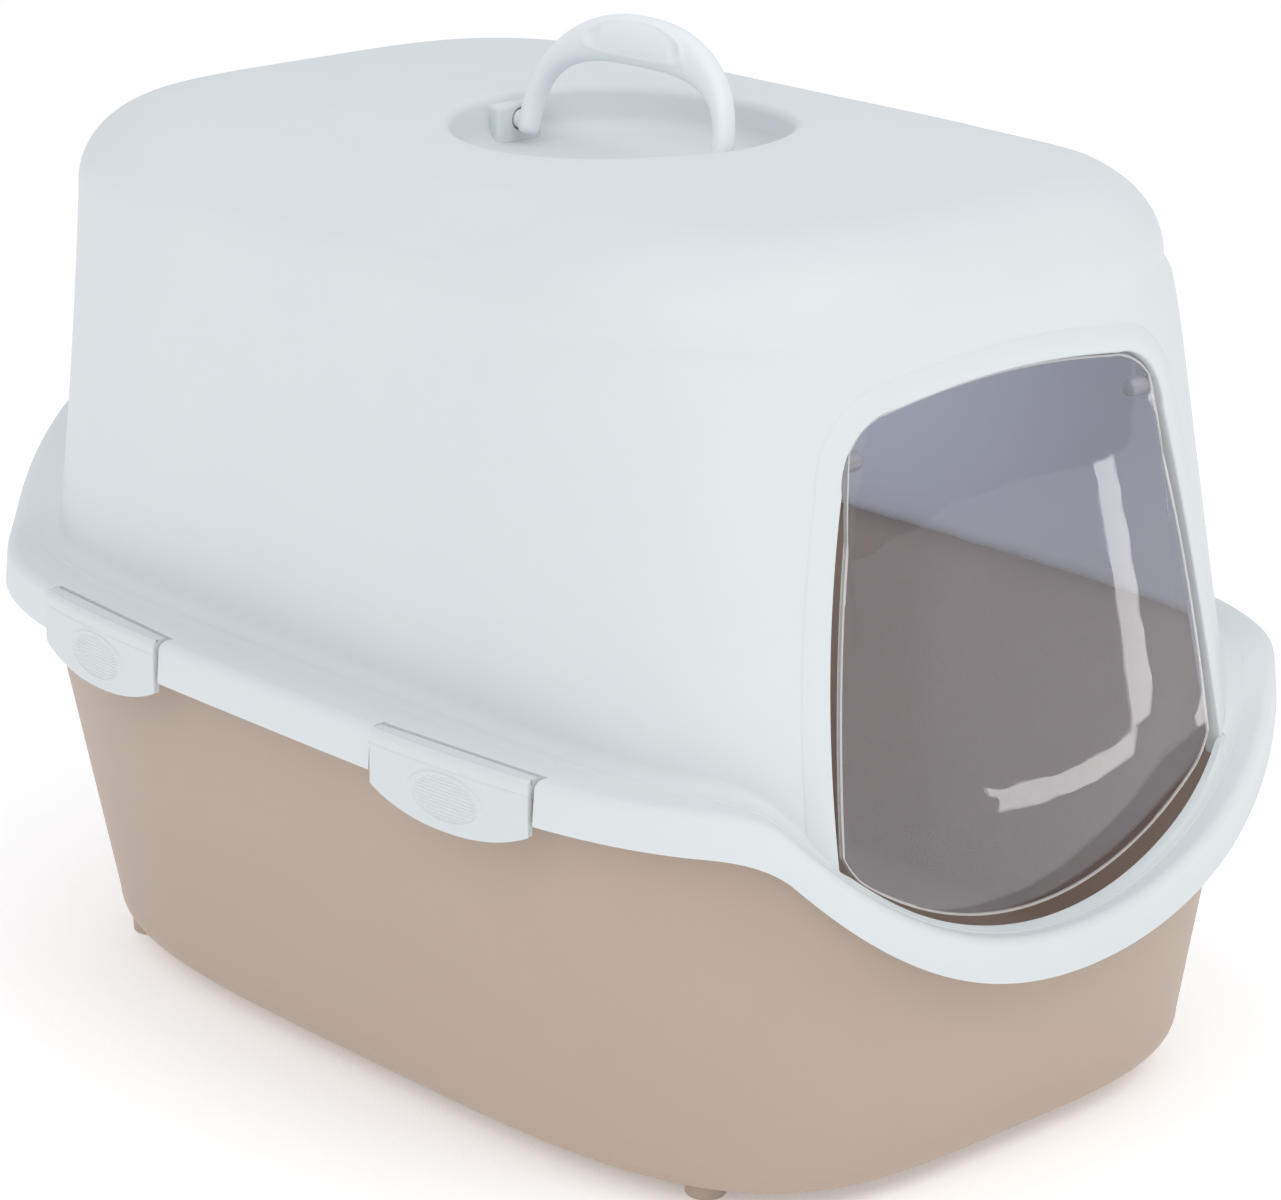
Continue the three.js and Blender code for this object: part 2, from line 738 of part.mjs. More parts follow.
// ---- Handle
const archPoint = (angle, half, rise, square) => {
  const [c, s] = [Math.cos(angle), Math.sin(angle)];
  return [
    half * Math.sign(c) * Math.abs(c) ** (2 / square),
    rise * Math.max(s, 0) ** (2 / square),
  ];
};

const handleSolid = () => {
  const sides = 12;
  const section = (inner, outer, thick, shrink) => Array.from({ length: sides }, (_, k) => {
    const turn = 2 * Math.PI * k / sides;
    const [c, s] = [Math.cos(turn), Math.sin(turn)];
    const along = 0.5 + 0.5 * shrink * Math.sign(c) * Math.abs(c) ** 0.85;
    const y = mix(inner[0], outer[0], along);
    const z = mix(inner[1], outer[1], along);
    const x = thick / 2 * shrink * Math.sign(s) * Math.abs(s) ** 0.85;
    return [x, recessMiddle + y, handlePivot + z];
  });
  const [outerHalf, innerHalf] = [handleSpan + legThickness, handleSpan - legThickness];
  const tip = (sign, drop, shrink) => section(
    [sign * innerHalf / 2, -drop],
    [sign * outerHalf / 2, -drop],
    legWidth,
    shrink,
  );
  const tips = (sign) => [[5.6, 0.45], [4.6, 0.8], [3, 1]].map(([d, k]) => tip(sign, d, k));
  const arch = sweep(20, Math.PI).map((angle) => {
    const grip = Math.sin(angle) ** 2;
    return section(
      archPoint(angle, innerHalf / 2, handleUnder, 3),
      archPoint(angle, outerHalf / 2, handleRise, 2.25),
      mix(legWidth, gripWidth, grip),
      1,
    );
  });
  const end = (sign) => [0, recessMiddle + sign * handleSpan / 2, handlePivot - 5.8];
  const bow = loft(end(1), [...tips(1), ...arch, ...tips(-1).reverse()], end(-1));
  const pins = [-1, 1].map((sign) => cylinderAlong(
    [0, recessMiddle + sign * handleSpan / 2, handlePivot],
    [0, recessMiddle + sign * (blockFace + handlePinLength - pinEndGap), handlePivot],
    handlePinRadius,
  ));
  const whole = toGeometry(addAll(bow, pins));
  whole.translate(0, 0, -handlePivot);
  whole.rotateY(THREE.MathUtils.degToRad(handleLean));
  whole.translate(0, 0, handlePivot);
  return toSolid(whole);
};

// ---- Clips
const clipSection = (side, y, drop) => {
  const inner = clipProud - clipPlate;
  const outline = [
    [clipProud, clipHinge + clipTop - 3],
    [clipProud - 1.2, clipHinge + clipTop - 0.6],
    [clipProud - 2.8, clipHinge + clipTop],
    [-clipHingeInset + 0.6, clipHinge + clipBarrel - 0.6],
    [-clipHingeInset + 0.6, clipHinge - clipBarrel + 0.6],
    [inner, clipHinge - clipBarrel - 1.4],
    [inner, clipHinge - drop + 1],
    [inner + 0.8, clipHinge - drop],
    [clipProud - 0.8, clipHinge - drop],
    [clipProud, clipHinge - drop + 1],
  ];
  return outline.map(([out, z]) => [...rimPlace(side, y, out), z]);
};

const clipSolid = (side, end) => {
  const stations = sweep(8, 1).map((share) => {
    const t = 2 * share - 1;
    const drop = mix(clipEndDrop, clipDrop, (1 - Math.abs(t) ** 2.2) ** 0.9);
    return clipSection(side, end * clipMiddle + t * clipLength / 2, drop);
  });
  const middle = (points) => [0, 1, 2].map((i) => (
    points.reduce((sum, p) => sum + p[i] / points.length, 0)
  ));
  const plate = loft(middle(stations[0]), stations, middle(stations[8]));
  const line = hingeLine(side, end);
  const barrel = cylinderAlong(line(-clipLength / 2), line(clipLength / 2), clipBarrel);
  const pinEnd = slotHalf + clipPinLength;
  const pin = cylinderAlong(line(-pinEnd), line(pinEnd), clipPinRadius);
  const nibTop = lipTop - lipHeight - slideClearance;
  const nibRow = (z, reach) => [-0.5, 0.5].flatMap((share) => {
    const y = end * clipMiddle + share * nibLength;
    const edges = [-reach, clipProud - 1];
    return (share < 0 ? edges : edges.reverse()).map((out) => [...rimPlace(side, y, out), z]);
  });
  const nibRows = [
    nibRow(nibTop - nibHeight, clipPlate + 1),
    nibRow(nibTop, lipInset - slideClearance),
  ];
  const nib = loft(middle(nibRows[0]), nibRows, middle(nibRows[1]));
  const padAt = clipHinge - clipDrop / 2;
  const face = rimPlace(side, end * clipMiddle, clipProud - 1);
  const outside = rimPlace(side, end * clipMiddle, clipProud + padRaise);
  const pad = new THREE.CylinderGeometry(padHeight / 2, padHeight / 2, 1 + padRaise, 2 * round);
  pad.rotateX(Math.PI / 2);
  pad.scale(1, padLength / padHeight, 1);
  pad.rotateY(Math.atan2(outside[0] - face[0], 0));
  pad.rotateZ(Math.atan2((outside[1] - face[1]) * side, Math.abs(outside[0] - face[0])));
  pad.translate((face[0] + outside[0]) / 2, (face[1] + outside[1]) / 2, padAt);
  return addAll(plate, [barrel, pin, nib, toSolid(pad)]);
};

// ---- Materials and assembly
const white = new THREE.MeshStandardMaterial({ color: 0xe6eaec, roughness: 0.45, metalness: 0 });
const beige = new THREE.MeshStandardMaterial({ color: 0xb8a697, roughness: 0.55, metalness: 0 });
const clear = new THREE.MeshStandardMaterial({
  color: 0xdfe3e6,
  roughness: 0.08,
  metalness: 0,
  transparent: true,
  opacity: 0.35,
});

const named = (name, solid, material) => {
  const mesh = new THREE.Mesh(toGeometry(solid), material);
  mesh.name = name;
  return mesh;
};

// The tray's lip is cut to seat under the hood's flange wherever the two would meet
const hood = hoodSolid();
const tray = traySolid().subtract(hood.translate([0, 0, -slideClearance]));

const group = new THREE.Group();
group.add(named('tray', tray, beige));
group.add(named('hood', hood, white));
group.add(named('door', doorSolid(), clear));
group.add(named('handle', handleSolid(), white));
for (const [side, end] of corners) {
  const name = `clip_${end < 0 ? 'front' : 'rear'}_${side < 0 ? 'left' : 'right'}`;
  group.add(named(name, clipSolid(side, end), white));
}

export default group;
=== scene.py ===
import json
import math
import bpy
import numpy as np
from mathutils import Matrix, Vector


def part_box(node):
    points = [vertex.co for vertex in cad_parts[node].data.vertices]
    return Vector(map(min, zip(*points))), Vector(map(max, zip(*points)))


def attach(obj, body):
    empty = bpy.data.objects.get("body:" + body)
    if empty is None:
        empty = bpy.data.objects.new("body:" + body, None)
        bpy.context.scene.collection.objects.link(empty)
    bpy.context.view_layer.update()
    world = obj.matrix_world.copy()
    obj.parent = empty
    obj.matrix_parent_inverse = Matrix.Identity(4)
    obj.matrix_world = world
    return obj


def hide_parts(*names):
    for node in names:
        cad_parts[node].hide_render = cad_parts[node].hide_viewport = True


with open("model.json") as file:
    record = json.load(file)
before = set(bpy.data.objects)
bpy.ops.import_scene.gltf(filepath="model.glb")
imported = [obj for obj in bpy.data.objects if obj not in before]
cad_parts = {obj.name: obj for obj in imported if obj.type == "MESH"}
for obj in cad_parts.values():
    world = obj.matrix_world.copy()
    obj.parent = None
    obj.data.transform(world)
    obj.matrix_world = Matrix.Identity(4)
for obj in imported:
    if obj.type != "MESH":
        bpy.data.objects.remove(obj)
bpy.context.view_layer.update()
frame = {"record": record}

# Hooded litter box: tray, hood, swing door, folding handle and side clips.
# Shapes are worked out in millimetres and made in metres; the doorway faces -Y.
mm = 0.001
hoodLow, hoodHigh = [np.array(corner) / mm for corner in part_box("hood")]
halfWidth = float(hoodHigh[0] - hoodLow[0]) / 2
halfLength = float(hoodHigh[1] - hoodLow[1]) / 2
joints = frame["record"]["behaviour"]["joints"]
jointAt = {joint["name"]: np.array(joint.get("pos_m", (0, 0, 0))) / mm for joint in joints}


def linear(hexColour):
    parts = [int(hexColour[i:i + 2], 16) / 255 for i in (1, 3, 5)]
    flat = [v / 12.92 if v <= 0.04045 else ((v + 0.055) / 1.055) ** 2.4 for v in parts]
    return (*flat, 1.0)


def addNode(tree, kind, settings=None, inputs=None):
    node = tree.nodes.new(kind)
    for name, value in (settings or {}).items():
        setattr(node, name, value)
    for name, value in (inputs or {}).items():
        if isinstance(value, bpy.types.NodeSocket):
            tree.links.new(value, node.inputs[name])
        else:
            node.inputs[name].default_value = value
    return node


def mix(a, b, t):
    return a + (b - a) * t


def smooth(t):
    t = np.clip(t, 0, 1)
    return t * t * (3 - 2 * t)


def quarter(steps, first=0):
    return [math.pi / 2 * k / steps for k in range(first, steps + 1)]


def makePiece(name, points, faces, material, sharpAngle=50):
    mesh = bpy.data.meshes.new(name)
    mesh.from_pydata((np.asarray(points) * mm).tolist(), [], faces)
    mesh.validate()
    mesh.update()
    mesh.shade_smooth()
    mesh.set_sharp_from_angle(angle=math.radians(sharpAngle))
    mesh.materials.append(material)
    piece = bpy.data.objects.new(name, mesh)
    bpy.context.scene.collection.objects.link(piece)
    return piece


def ringFaces(rows, count, first=0):
    faces = []
    for i in range(rows - 1):
        for j in range(count):
            k = (j + 1) % count
            a, b = first + i * count + j, first + i * count + k
            faces.append((a, b, b + count, a + count))
    return faces


def lofted(rings, start, end):
    # rings of points, closed with a fan at each end
    count = len(rings[0])
    points = np.vstack([*rings, [start], [end]])
    last = (len(rings) - 1) * count
    faces = ringFaces(len(rings), count)
    for j in range(count):
        k = (j + 1) % count
        faces.append((len(points) - 2, k, j))
        faces.append((len(points) - 1, last + j, last + k))
    return points, outward(points, faces)


def outward(points, faces):
    # turn all faces over if they enclose a negative volume
    corners = np.array([(f[0], f[k], f[k + 1]) for f in faces for k in range(1, len(f) - 1)])
    a, b, c = [points[corners[:, i]] for i in range(3)]
    volume = np.einsum("ij,ij->", a, np.cross(b, c))
    return faces if volume > 0 else [f[::-1] for f in faces]


def slab(front, back):
    # a closed sheet between two grids of points that face each other
    levels, width = front.shape[:2]
    points = np.vstack([front.reshape(-1, 3), back.reshape(-1, 3)])
    count = levels * width
    faces = []
    for i in range(levels - 1):
        for k in range(width - 1):
            a = i * width + k
            faces.append((a, a + 1, a + width + 1, a + width))
            faces.append((a + count, a + count + width, a + count + width + 1, a + count + 1))
        left, right = i * width, (i + 1) * width - 1
        faces.append((left, left + width, left + width + count, left + count))
        faces.append((right, right + count, right + width + count, right + width))
    for k in range(width - 1):
        top = (levels - 1) * width + k
        faces.append((k, k + count, k + 1 + count, k + 1))
        faces.append((top, top + 1, top + 1 + count, top + count))
    return points, outward(points, faces)


def box(low, high):
    points = [(x, y, z) for z in (low[2], high[2]) for y in (low[1], high[1]) for x in (low[0], high[0])]
    faces = [(0, 2, 3, 1), (4, 5, 7, 6), (0, 1, 5, 4), (2, 6, 7, 3), (0, 4, 6, 2), (1, 3, 7, 5)]
    return np.array(points), faces


def rod(start, end, radii, sides=32):
    # a turned rod: radii at shares of its length
    start, end = np.array(start, float), np.array(end, float)
    along = (end - start) / np.linalg.norm(end - start)
    side = np.cross(along, (0.0, 0.0, 1.0) if abs(along[2]) < 0.9 else (1.0, 0.0, 0.0))
    side /= np.linalg.norm(side)
    other = np.cross(along, side)
    turn = np.linspace(0, 2 * math.pi, sides, endpoint=False)[:, None]
    rings = [
        start + (end - start) * share + radius * (np.cos(turn) * side + np.sin(turn) * other)
        for share, radius in radii
    ]
    return lofted(rings, start + (end - start) * radii[0][0], start + (end - start) * radii[-1][0])


def joined(parts):
    points, faces, first = [], [], 0
    for partPoints, partFaces in parts:
        points.append(np.asarray(partPoints))
        faces.extend(tuple(v + first for v in face) for face in partFaces)
        first += len(partPoints)
    return np.vstack(points), faces


def modify(piece, kind, **settings):
    modifier = piece.modifiers.new(kind.lower(), kind)
    for name, value in settings.items():
        setattr(modifier, name, value)


def bakeModifiers(piece):
    # leave the finished mesh and no modifier
    graph = bpy.context.evaluated_depsgraph_get()
    mesh = bpy.data.meshes.new_from_object(piece.evaluated_get(graph))
    piece.modifiers.clear()
    piece.data = mesh


def cutFrom(piece, points, faces):
    tool = makePiece("cutter", points, faces, piece.data.materials[0])
    modify(piece, "BOOLEAN", operation="DIFFERENCE", solver="MANIFOLD", object=tool)
    bakeModifiers(piece)
    bpy.data.objects.remove(tool)
    piece.data.set_sharp_from_angle(angle=math.radians(40))


# Where the camera stands, how bright the room is, and the paper floor
view = {
    "azimuth": -42.91, "elevation": 18.16, "distance": 1.8758, "floorGlow": 0.22,
    "target": (0.00747, -0.00699, 0.18039), "lens": 119.5, "roll": 0.32,
    "floorSize": 16.0, "floor": "#ffffff", "world": "#fbfcff", "worldStrength": 0.76,
    "wallGlow": 0.42, "glowColour": "#f4f4ff", "glowPlace": (0, 0.02, 0.27), "glowRadius": 0.07,
    "lightsAim": (0, 0, 0.2), "toothSize": 1.43,
}
# place, size across and up, watts, colour
softboxes = {
    "keyFront": ((0.3, -1.75, 2.1), (1.5, 1.2), 12, "#fffdf8"),
    "fillLeft": ((-2.0, -0.8, 1.8), (1.5, 1.2), 9.5, "#fffcf6"),
    "topSoft": ((0.0, 0.5, 2.5), (2.0, 2.0), 4, "#dfe4ff"),
}
# narrow strips beside the door that only its gloss picks up
glints = {
    "stripUpright": ((0.452, -0.541, 0.178), (0.072, 0.19), 0.105, "#fffaf4"),
    "stripLow": ((0.395, -0.586, 0.056), (0.13, 0.046), 0.046, "#fffaf4"),
}


def aimed(place, target):
    back = (Vector(place) - Vector(target)).normalized()
    right = Vector((0, 0, 1)).cross(back).normalized()
    turn = Matrix((right, back.cross(right), back)).transposed().to_4x4()
    return Matrix.Translation(place) @ turn


def makeCamera():
    az, el = math.radians(view["azimuth"]), math.radians(view["elevation"])
    back = Vector((math.sin(az) * math.cos(el), -math.cos(az) * math.cos(el), math.sin(el)))
    data = bpy.data.cameras.new("camera")
    data.lens = view["lens"]
    camera = bpy.data.objects.new("camera", data)
    target = Vector(view["target"])
    spin = Matrix.Rotation(math.radians(view["roll"]), 4, "Z")
    camera.matrix_world = aimed(target + back * view["distance"], target) @ spin
    bpy.context.scene.collection.objects.link(camera)
    bpy.context.scene.camera = camera


def makeLights():
    for name, (place, size, watts, colour) in {**softboxes, **glints}.items():
        data = bpy.data.lights.new(name, "AREA")
        data.shape = "RECTANGLE"
        data.size, data.size_y = size
        data.energy = watts
        data.color = linear(colour)[:3]
        lamp = bpy.data.objects.new(name, data)
        lamp.matrix_world = aimed(place, view["lightsAim"])
        lamp.visible_camera = False
        lamp.visible_diffuse = name not in glints
        bpy.context.scene.collection.objects.link(lamp)
    # light that comes through the thin white walls and fills the inside
    data = bpy.data.lights.new("wallGlow", "POINT")
    data.energy, data.shadow_soft_size = view["wallGlow"], view["glowRadius"]
    glow = bpy.data.objects.new("wallGlow", data)
    data.color = linear(view["glowColour"])[:3]
    glow.location = view["glowPlace"]
    glow.visible_camera = glow.visible_glossy = glow.visible_transmission = False
    bpy.context.scene.collection.objects.link(glow)
    world = bpy.data.worlds.new("studio")
    world.use_nodes = True
    background = world.node_tree.nodes["Background"]
    background.inputs["Color"].default_value = linear(view["world"])
    background.inputs["Strength"].default_value = view["worldStrength"]
    bpy.context.scene.world = world


def newMaterial(name):
    material = bpy.data.materials.new(name)
    material.use_nodes = True
    tree = material.node_tree
    tree.nodes.clear()
    shader = addNode(tree, "ShaderNodeBsdfPrincipled")
    addNode(tree, "ShaderNodeOutputMaterial", inputs={"Surface": shader.outputs["BSDF"]})
    return material, tree, shader


# Polypropylene, moulded on spark-eroded steel: a fine matt grain that spreads the light, faint
# flow clouds in the colour, a waxy sheen, and broad patches that handling has smoothed.
def polypropyleneMoulded(name, look):
    material, tree, shader = newMaterial(name)
    place = addNode(tree, "ShaderNodeTexCoord").outputs["Object"]
    clouds = addNode(tree, "ShaderNodeTexNoise", inputs={
        "Vector": place, "Scale": 1 / (look["cloudSize"] * mm), "Detail": 3.0, "Roughness": 0.55,
    })
    tone = addNode(tree, "ShaderNodeMix", {"data_type": "RGBA"})
    tree.links.new(clouds.outputs["Fac"], tone.inputs[0])
    tone.inputs[6].default_value = linear(look["colour"])
    tone.inputs[7].default_value = linear(look["cloudColour"])
    # The grain is about 0.3 mm on the real thing; drawn coarser so that it shows
    grain = addNode(tree, "ShaderNodeTexNoise", inputs={
        "Vector": place, "Scale": 1 / (look["grainSize"] * mm), "Detail": 2.0, "Roughness": 0.6,
    })
    pits = addNode(tree, "ShaderNodeTexVoronoi", {"feature": "F1"}, {
        "Vector": place, "Scale": 1 / (look["pitSize"] * mm),
    })
    both = addNode(tree, "ShaderNodeMath", {"operation": "MULTIPLY_ADD"}, {0: pits.outputs["Distance"]})
    both.inputs[1].default_value = 0.35
    tree.links.new(grain.outputs["Fac"], both.inputs[2])
    bump = addNode(tree, "ShaderNodeBump", inputs={
        "Strength": 1.0, "Distance": look["grainDepth"] * mm, "Height": both.outputs["Value"],
    })
    rub = addNode(tree, "ShaderNodeTexNoise", inputs={
        "Vector": place, "Scale": 1 / (look["rubSize"] * mm), "Detail": 4.0,
    })
    gloss = addNode(tree, "ShaderNodeMapRange", inputs={
        "Value": rub.outputs["Fac"], "From Min": 0.3, "From Max": 0.7,
        "To Min": look["roughness"] - 0.05, "To Max": look["roughness"] + 0.05,
    })
    tree.links.new(tone.outputs[2], shader.inputs["Base Color"])
    tree.links.new(gloss.outputs["Result"], shader.inputs["Roughness"])
    tree.links.new(bump.outputs["Normal"], shader.inputs["Normal"])
    shader.inputs["IOR"].default_value = 1.49
    shader.inputs["Subsurface Weight"].default_value = look["milky"]
    shader.inputs["Subsurface Radius"].default_value = (1.0, 0.9, 0.8)
    shader.inputs["Subsurface Scale"].default_value = 1.2 * mm
    shader.inputs["Sheen Weight"].default_value = look["sheen"]
    shader.inputs["Sheen Roughness"].default_value = 0.5
    return material


# Polystyrene, moulded clear on polished steel: glassy, very slightly smoky, with soft ripples
# that bend the reflections.
def polystyreneClear(name, look):
    material, tree, shader = newMaterial(name)
    place = addNode(tree, "ShaderNodeTexCoord").outputs["Object"]
    ripple = addNode(tree, "ShaderNodeTexNoise", inputs={
        "Vector": place, "Scale": 1 / (look["rippleSize"] * mm), "Detail": 1.0,
    })
    bump = addNode(tree, "ShaderNodeBump", inputs={
        "Strength": 1.0, "Distance": look["rippleDepth"] * mm, "Height": ripple.outputs["Fac"],
    })
    smear = addNode(tree, "ShaderNodeTexNoise", inputs={
        "Vector": place, "Scale": 1 / (look["smearSize"] * mm), "Detail": 2.0,
    })
    gloss = addNode(tree, "ShaderNodeMapRange", inputs={
        "Value": smear.outputs["Fac"], "From Min": 0.35, "From Max": 0.75,
        "To Min": look["roughness"], "To Max": look["roughness"] + 0.02,
    })
    tree.links.new(gloss.outputs["Result"], shader.inputs["Roughness"])
    tree.links.new(bump.outputs["Normal"], shader.inputs["Normal"])
    shader.inputs["Base Color"].default_value = linear(look["colour"])
    shader.inputs["IOR"].default_value = 1.59
    shader.inputs["Transmission Weight"].default_value = look["clearness"]
    return material


# Painted paper sweep under the object: dead matt, with a trace of tooth.
def paperMatt():
    material, tree, shader = newMaterial("paperMatt")
    place = addNode(tree, "ShaderNodeTexCoord").outputs["Object"]
    tooth = addNode(tree, "ShaderNodeTexNoise", inputs={
        "Vector": place, "Scale": 1 / (view["toothSize"] * mm),
    })
    bump = addNode(tree, "ShaderNodeBump", inputs={"Distance": 0.0001, "Height": tooth.outputs["Fac"]})
    tree.links.new(bump.outputs["Normal"], shader.inputs["Normal"])
    shader.inputs["Base Color"].default_value = linear(view["floor"])
    shader.inputs["Roughness"].default_value = 0.95
    shader.inputs["Specular IOR Level"].default_value = 0.1
    shader.inputs["Emission Color"].default_value = linear(view["floor"])
    shader.inputs["Emission Strength"].default_value = view["floorGlow"]
    return material


whiteFinish = {
    "colour": "#d6dcde", "cloudColour": "#dae0e1", "cloudSize": 70, "grainSize": 0.9,
    "pitSize": 1.6, "grainDepth": 0.012, "rubSize": 111, "roughness": 0.5, "milky": 0.12, "sheen": 0.05,
}
beigeFinish = {
    "colour": "#b3a192", "cloudColour": "#b7a596", "cloudSize": 90, "grainSize": 0.9,
    "pitSize": 1.6, "grainDepth": 0.008, "rubSize": 111, "roughness": 0.52, "milky": 0.05, "sheen": 0.05,
}
clearFinish = {
    "colour": "#e5e7f4", "rippleSize": 22, "rippleDepth": 0.12, "smearSize": 45.5, "roughness": 0.0,
    "clearness": 1.0,
}
# the door's rim and cut edges are frosted, and their pale colour is partly painted highlight, standing in
# for the light the edge catches as a pale line
edgeFrostAndHighlightFinish = {
    "colour": "#f1efec", "rippleSize": 4, "rippleDepth": 0.02, "smearSize": 45.5, "roughness": 0.3,
    "clearness": 0.5,
}

whitePlastic = polypropyleneMoulded("polypropyleneMouldedWhite", whiteFinish)
# painted light: the handle is the same white plastic made lighter, standing in for the light that falls on
# it
gripPaintedLightFinish = {**whiteFinish, "colour": "#e6ebee", "cloudColour": "#e9eef0", "roughness": 0.42}
# painted shade: the clips are the same white plastic made a little darker, standing in for the shade on
# them
clipPaintedShadeFinish = {**whiteFinish, "colour": "#d2d8da", "cloudColour": "#d6dbdc", "roughness": 0.4}
gripPaintedLightPlastic = polypropyleneMoulded("polypropyleneMouldedGripPaintedLight", gripPaintedLightFinish)
clipPaintedShadePlastic = polypropyleneMoulded("polypropyleneMouldedClipPaintedShade", clipPaintedShadeFinish)
beigePlastic = polypropyleneMoulded("polypropyleneMouldedBeige", beigeFinish)
clearPlastic = polystyreneClear("polystyreneMouldedClear", clearFinish)
edgeFrostAndHighlightPlastic = polystyreneClear("polystyreneCutEdgeFrostAndHighlight", edgeFrostAndHighlightFinish)
print("materials made")


# The wavy rim that hood and tray share: low at the doorway, high at the rear
rim = {
    "bottom": 169.3, "skirt": 18.5, "draft": 1.2, "corner": 4.0, "frontSquare": 3.74,
    "rearSquare": 3.63, "frontDip": 75.9, "rearRise": 76.0, "waveInset": 33.0, "shoulder": 32.0,
    "lipGap": 0.8,
}
flangeTop = rim["bottom"] + rim["skirt"]
columns = 384
turns = np.linspace(0, 2 * math.pi, columns, endpoint=False)
rimPlan = (halfWidth, -halfLength, halfLength, rim["frontSquare"], rim["rearSquare"])


def inset(plan, d, ends=None):
    ends = d if ends is None else ends
    return (plan[0] - d, plan[1] + ends, plan[2] - ends, plan[3], plan[4])


def outline(plan, angles=turns):
    # squared oval: half width, front, rear, squareness of the front and rear corners
    half, front, rear, frontSquare, rearSquare = plan
    c, s = np.cos(angles), np.sin(angles)
    n = np.where(s < 0, frontSquare, rearSquare)
    reach = (np.abs(c) ** n + np.abs(s) ** n) ** (-1 / n)
    return half * c * reach, (front + rear) / 2 + (rear - front) / 2 * s * reach


def waveArc(x, depth):
    half = halfWidth - rim["waveInset"]
    both = (half ** 2 + depth ** 2) / (2 * depth)
    hollow = both - rim["shoulder"]
    reach = np.abs(x)
    inner = depth - hollow + np.sqrt(np.maximum(hollow ** 2 - reach ** 2, 0))
    outer = rim["shoulder"] - np.sqrt(np.maximum(rim["shoulder"] ** 2 - (half - reach) ** 2, 0))
    return np.where(reach < half * hollow / both, inner, np.where(reach < half, outer, 0.0))


def wave(x, y):
    # the wave of the rim straight out from a place, seen from the middle
    n = np.where(y < 0, rim["frontSquare"], rim["rearSquare"])
    reach = (np.abs(x / halfWidth) ** n + np.abs(y / halfLength) ** n + 1e-9) ** (-1 / n)
    return np.where(y < 0, -waveArc(x * reach, rim["frontDip"]), waveArc(x * reach, rim["rearRise"]))


def ring(x, y, z):
    return np.column_stack([x, y, np.broadcast_to(z, np.shape(x))])


def rimRing(plan, z):
    x, y = outline(plan)
    return ring(x, y, z + wave(x, y))


# The hood: walls that flare towards the rim, a rounded roof, and the handle recess
hoodShape = {
    "roofEdge": 392.0, "wall": 2.5, "frontSetback": 54.4, "rearSetback": 38.9, "frontFlare": 35.0,
    "rearFlare": 26.0, "sideFlare": 4.0, "flareSpan": 223.5, "flarePower": 1.35, "eaveInset": 40.5,
    "eaveFrontSquare": 3.9, "eaveRearSquare": 4.2, "footFrontSquare": 6.0, "footRearSquare": 4.8,
    "roofFillet": 38.6, "crown": 6.0, "footFillet": 6.5, "stepDepth": 0.5,
    "recessRadius": 75.0, "recessDepth": 16.0, "recessMiddle": -2.0, "recessBend": 8.0, "recessLip": 5.0,
    "grooveDepth": 6.0, "grooveHalfLength": 145.0, "grooveMiddle": -9.0,
    "grooveTilt": 60.0, "grooveSpread": 32.0,
}
eave = hoodShape["roofEdge"] - hoodShape["roofFillet"]


def wallPlan(z, t):
    h = hoodShape
    down = np.clip((eave - z) / h["flareSpan"], 0, 1.2)
    flare = down ** h["flarePower"]
    low = np.clip(down, 0, 1)
    return (
        halfWidth - h["eaveInset"] + h["sideFlare"] * down - t,
        -halfLength + h["frontSetback"] - h["frontFlare"] * flare + t,
        halfLength - h["rearSetback"] + h["rearFlare"] * flare - t,
        mix(h["eaveFrontSquare"], h["footFrontSquare"], low ** 0.5),
        mix(h["eaveRearSquare"], h["footRearSquare"], low),
    )


def wallRing(share, t):
    z = np.full(columns, flangeTop)
    for _ in range(8):
        x, y = outline(wallPlan(z, t))
        z = mix(flangeTop + hoodShape["footFillet"] + wave(x, y), eave, share)
    return ring(x, y, z)


def footRing(angle, t):
    radius = hoodShape["footFillet"]
    foot = wallRing(0, 0)[:, 2]
    out = radius - (radius + t) * math.cos(angle)
    x, y = outline(inset(wallPlan(foot, 0), -out))
    return ring(x, y, flangeTop + radius - (radius + t) * math.sin(angle) + wave(x, y))


def flangeRing(plan, share, t, lift=0.0):
    foot = footRing(math.pi / 2, t)
    edge = outline(plan)
    x, y = mix(foot[:, 0], edge[0], share), mix(foot[:, 1], edge[1], share)
    return ring(x, y, flangeTop - t + lift + wave(x, y))


def grooveSink(angle, y):
    h = hoodShape
    across = np.clip((math.degrees(angle) - h["grooveTilt"]) / h["grooveSpread"], -1, 1)
    along = np.clip((y - h["grooveMiddle"]) / h["grooveHalfLength"], -1, 1)
    return h["grooveDepth"] * np.cos(math.pi / 2 * across) ** 0.8 * np.cos(math.pi / 2 * along)


def filletRing(angle, t):
    h = hoodShape
    bend = h["roofFillet"] - t
    x, y = outline(inset(wallPlan(eave, 0), h["roofFillet"] - bend * math.cos(angle)))
    sink = grooveSink(angle, y)
    inwards = np.sign(x) * sink * math.cos(angle)
    return ring(x - inwards, y, eave + bend * math.sin(angle) - sink * math.sin(angle))


roofPlan = inset(wallPlan(eave, 0), hoodShape["roofFillet"])


def roofHeight(x, y):
    middle = (roofPlan[1] + roofPlan[2]) / 2
    n = np.where(y < middle, roofPlan[3], roofPlan[4])
    reach = (np.abs(x / roofPlan[0]) ** n + np.abs((y - middle) / (roofPlan[2] - middle)) ** n) ** (2 / n)
    return hoodShape["roofEdge"] + hoodShape["crown"] * (1 - np.clip(reach, 0, 1)) ** 2


def circleRing(radius, z=None, drop=0.0):
    x = radius * np.cos(turns)
    y = hoodShape["recessMiddle"] + radius * np.sin(turns)
    return ring(x, y, roofHeight(x, y) - drop if z is None else z)


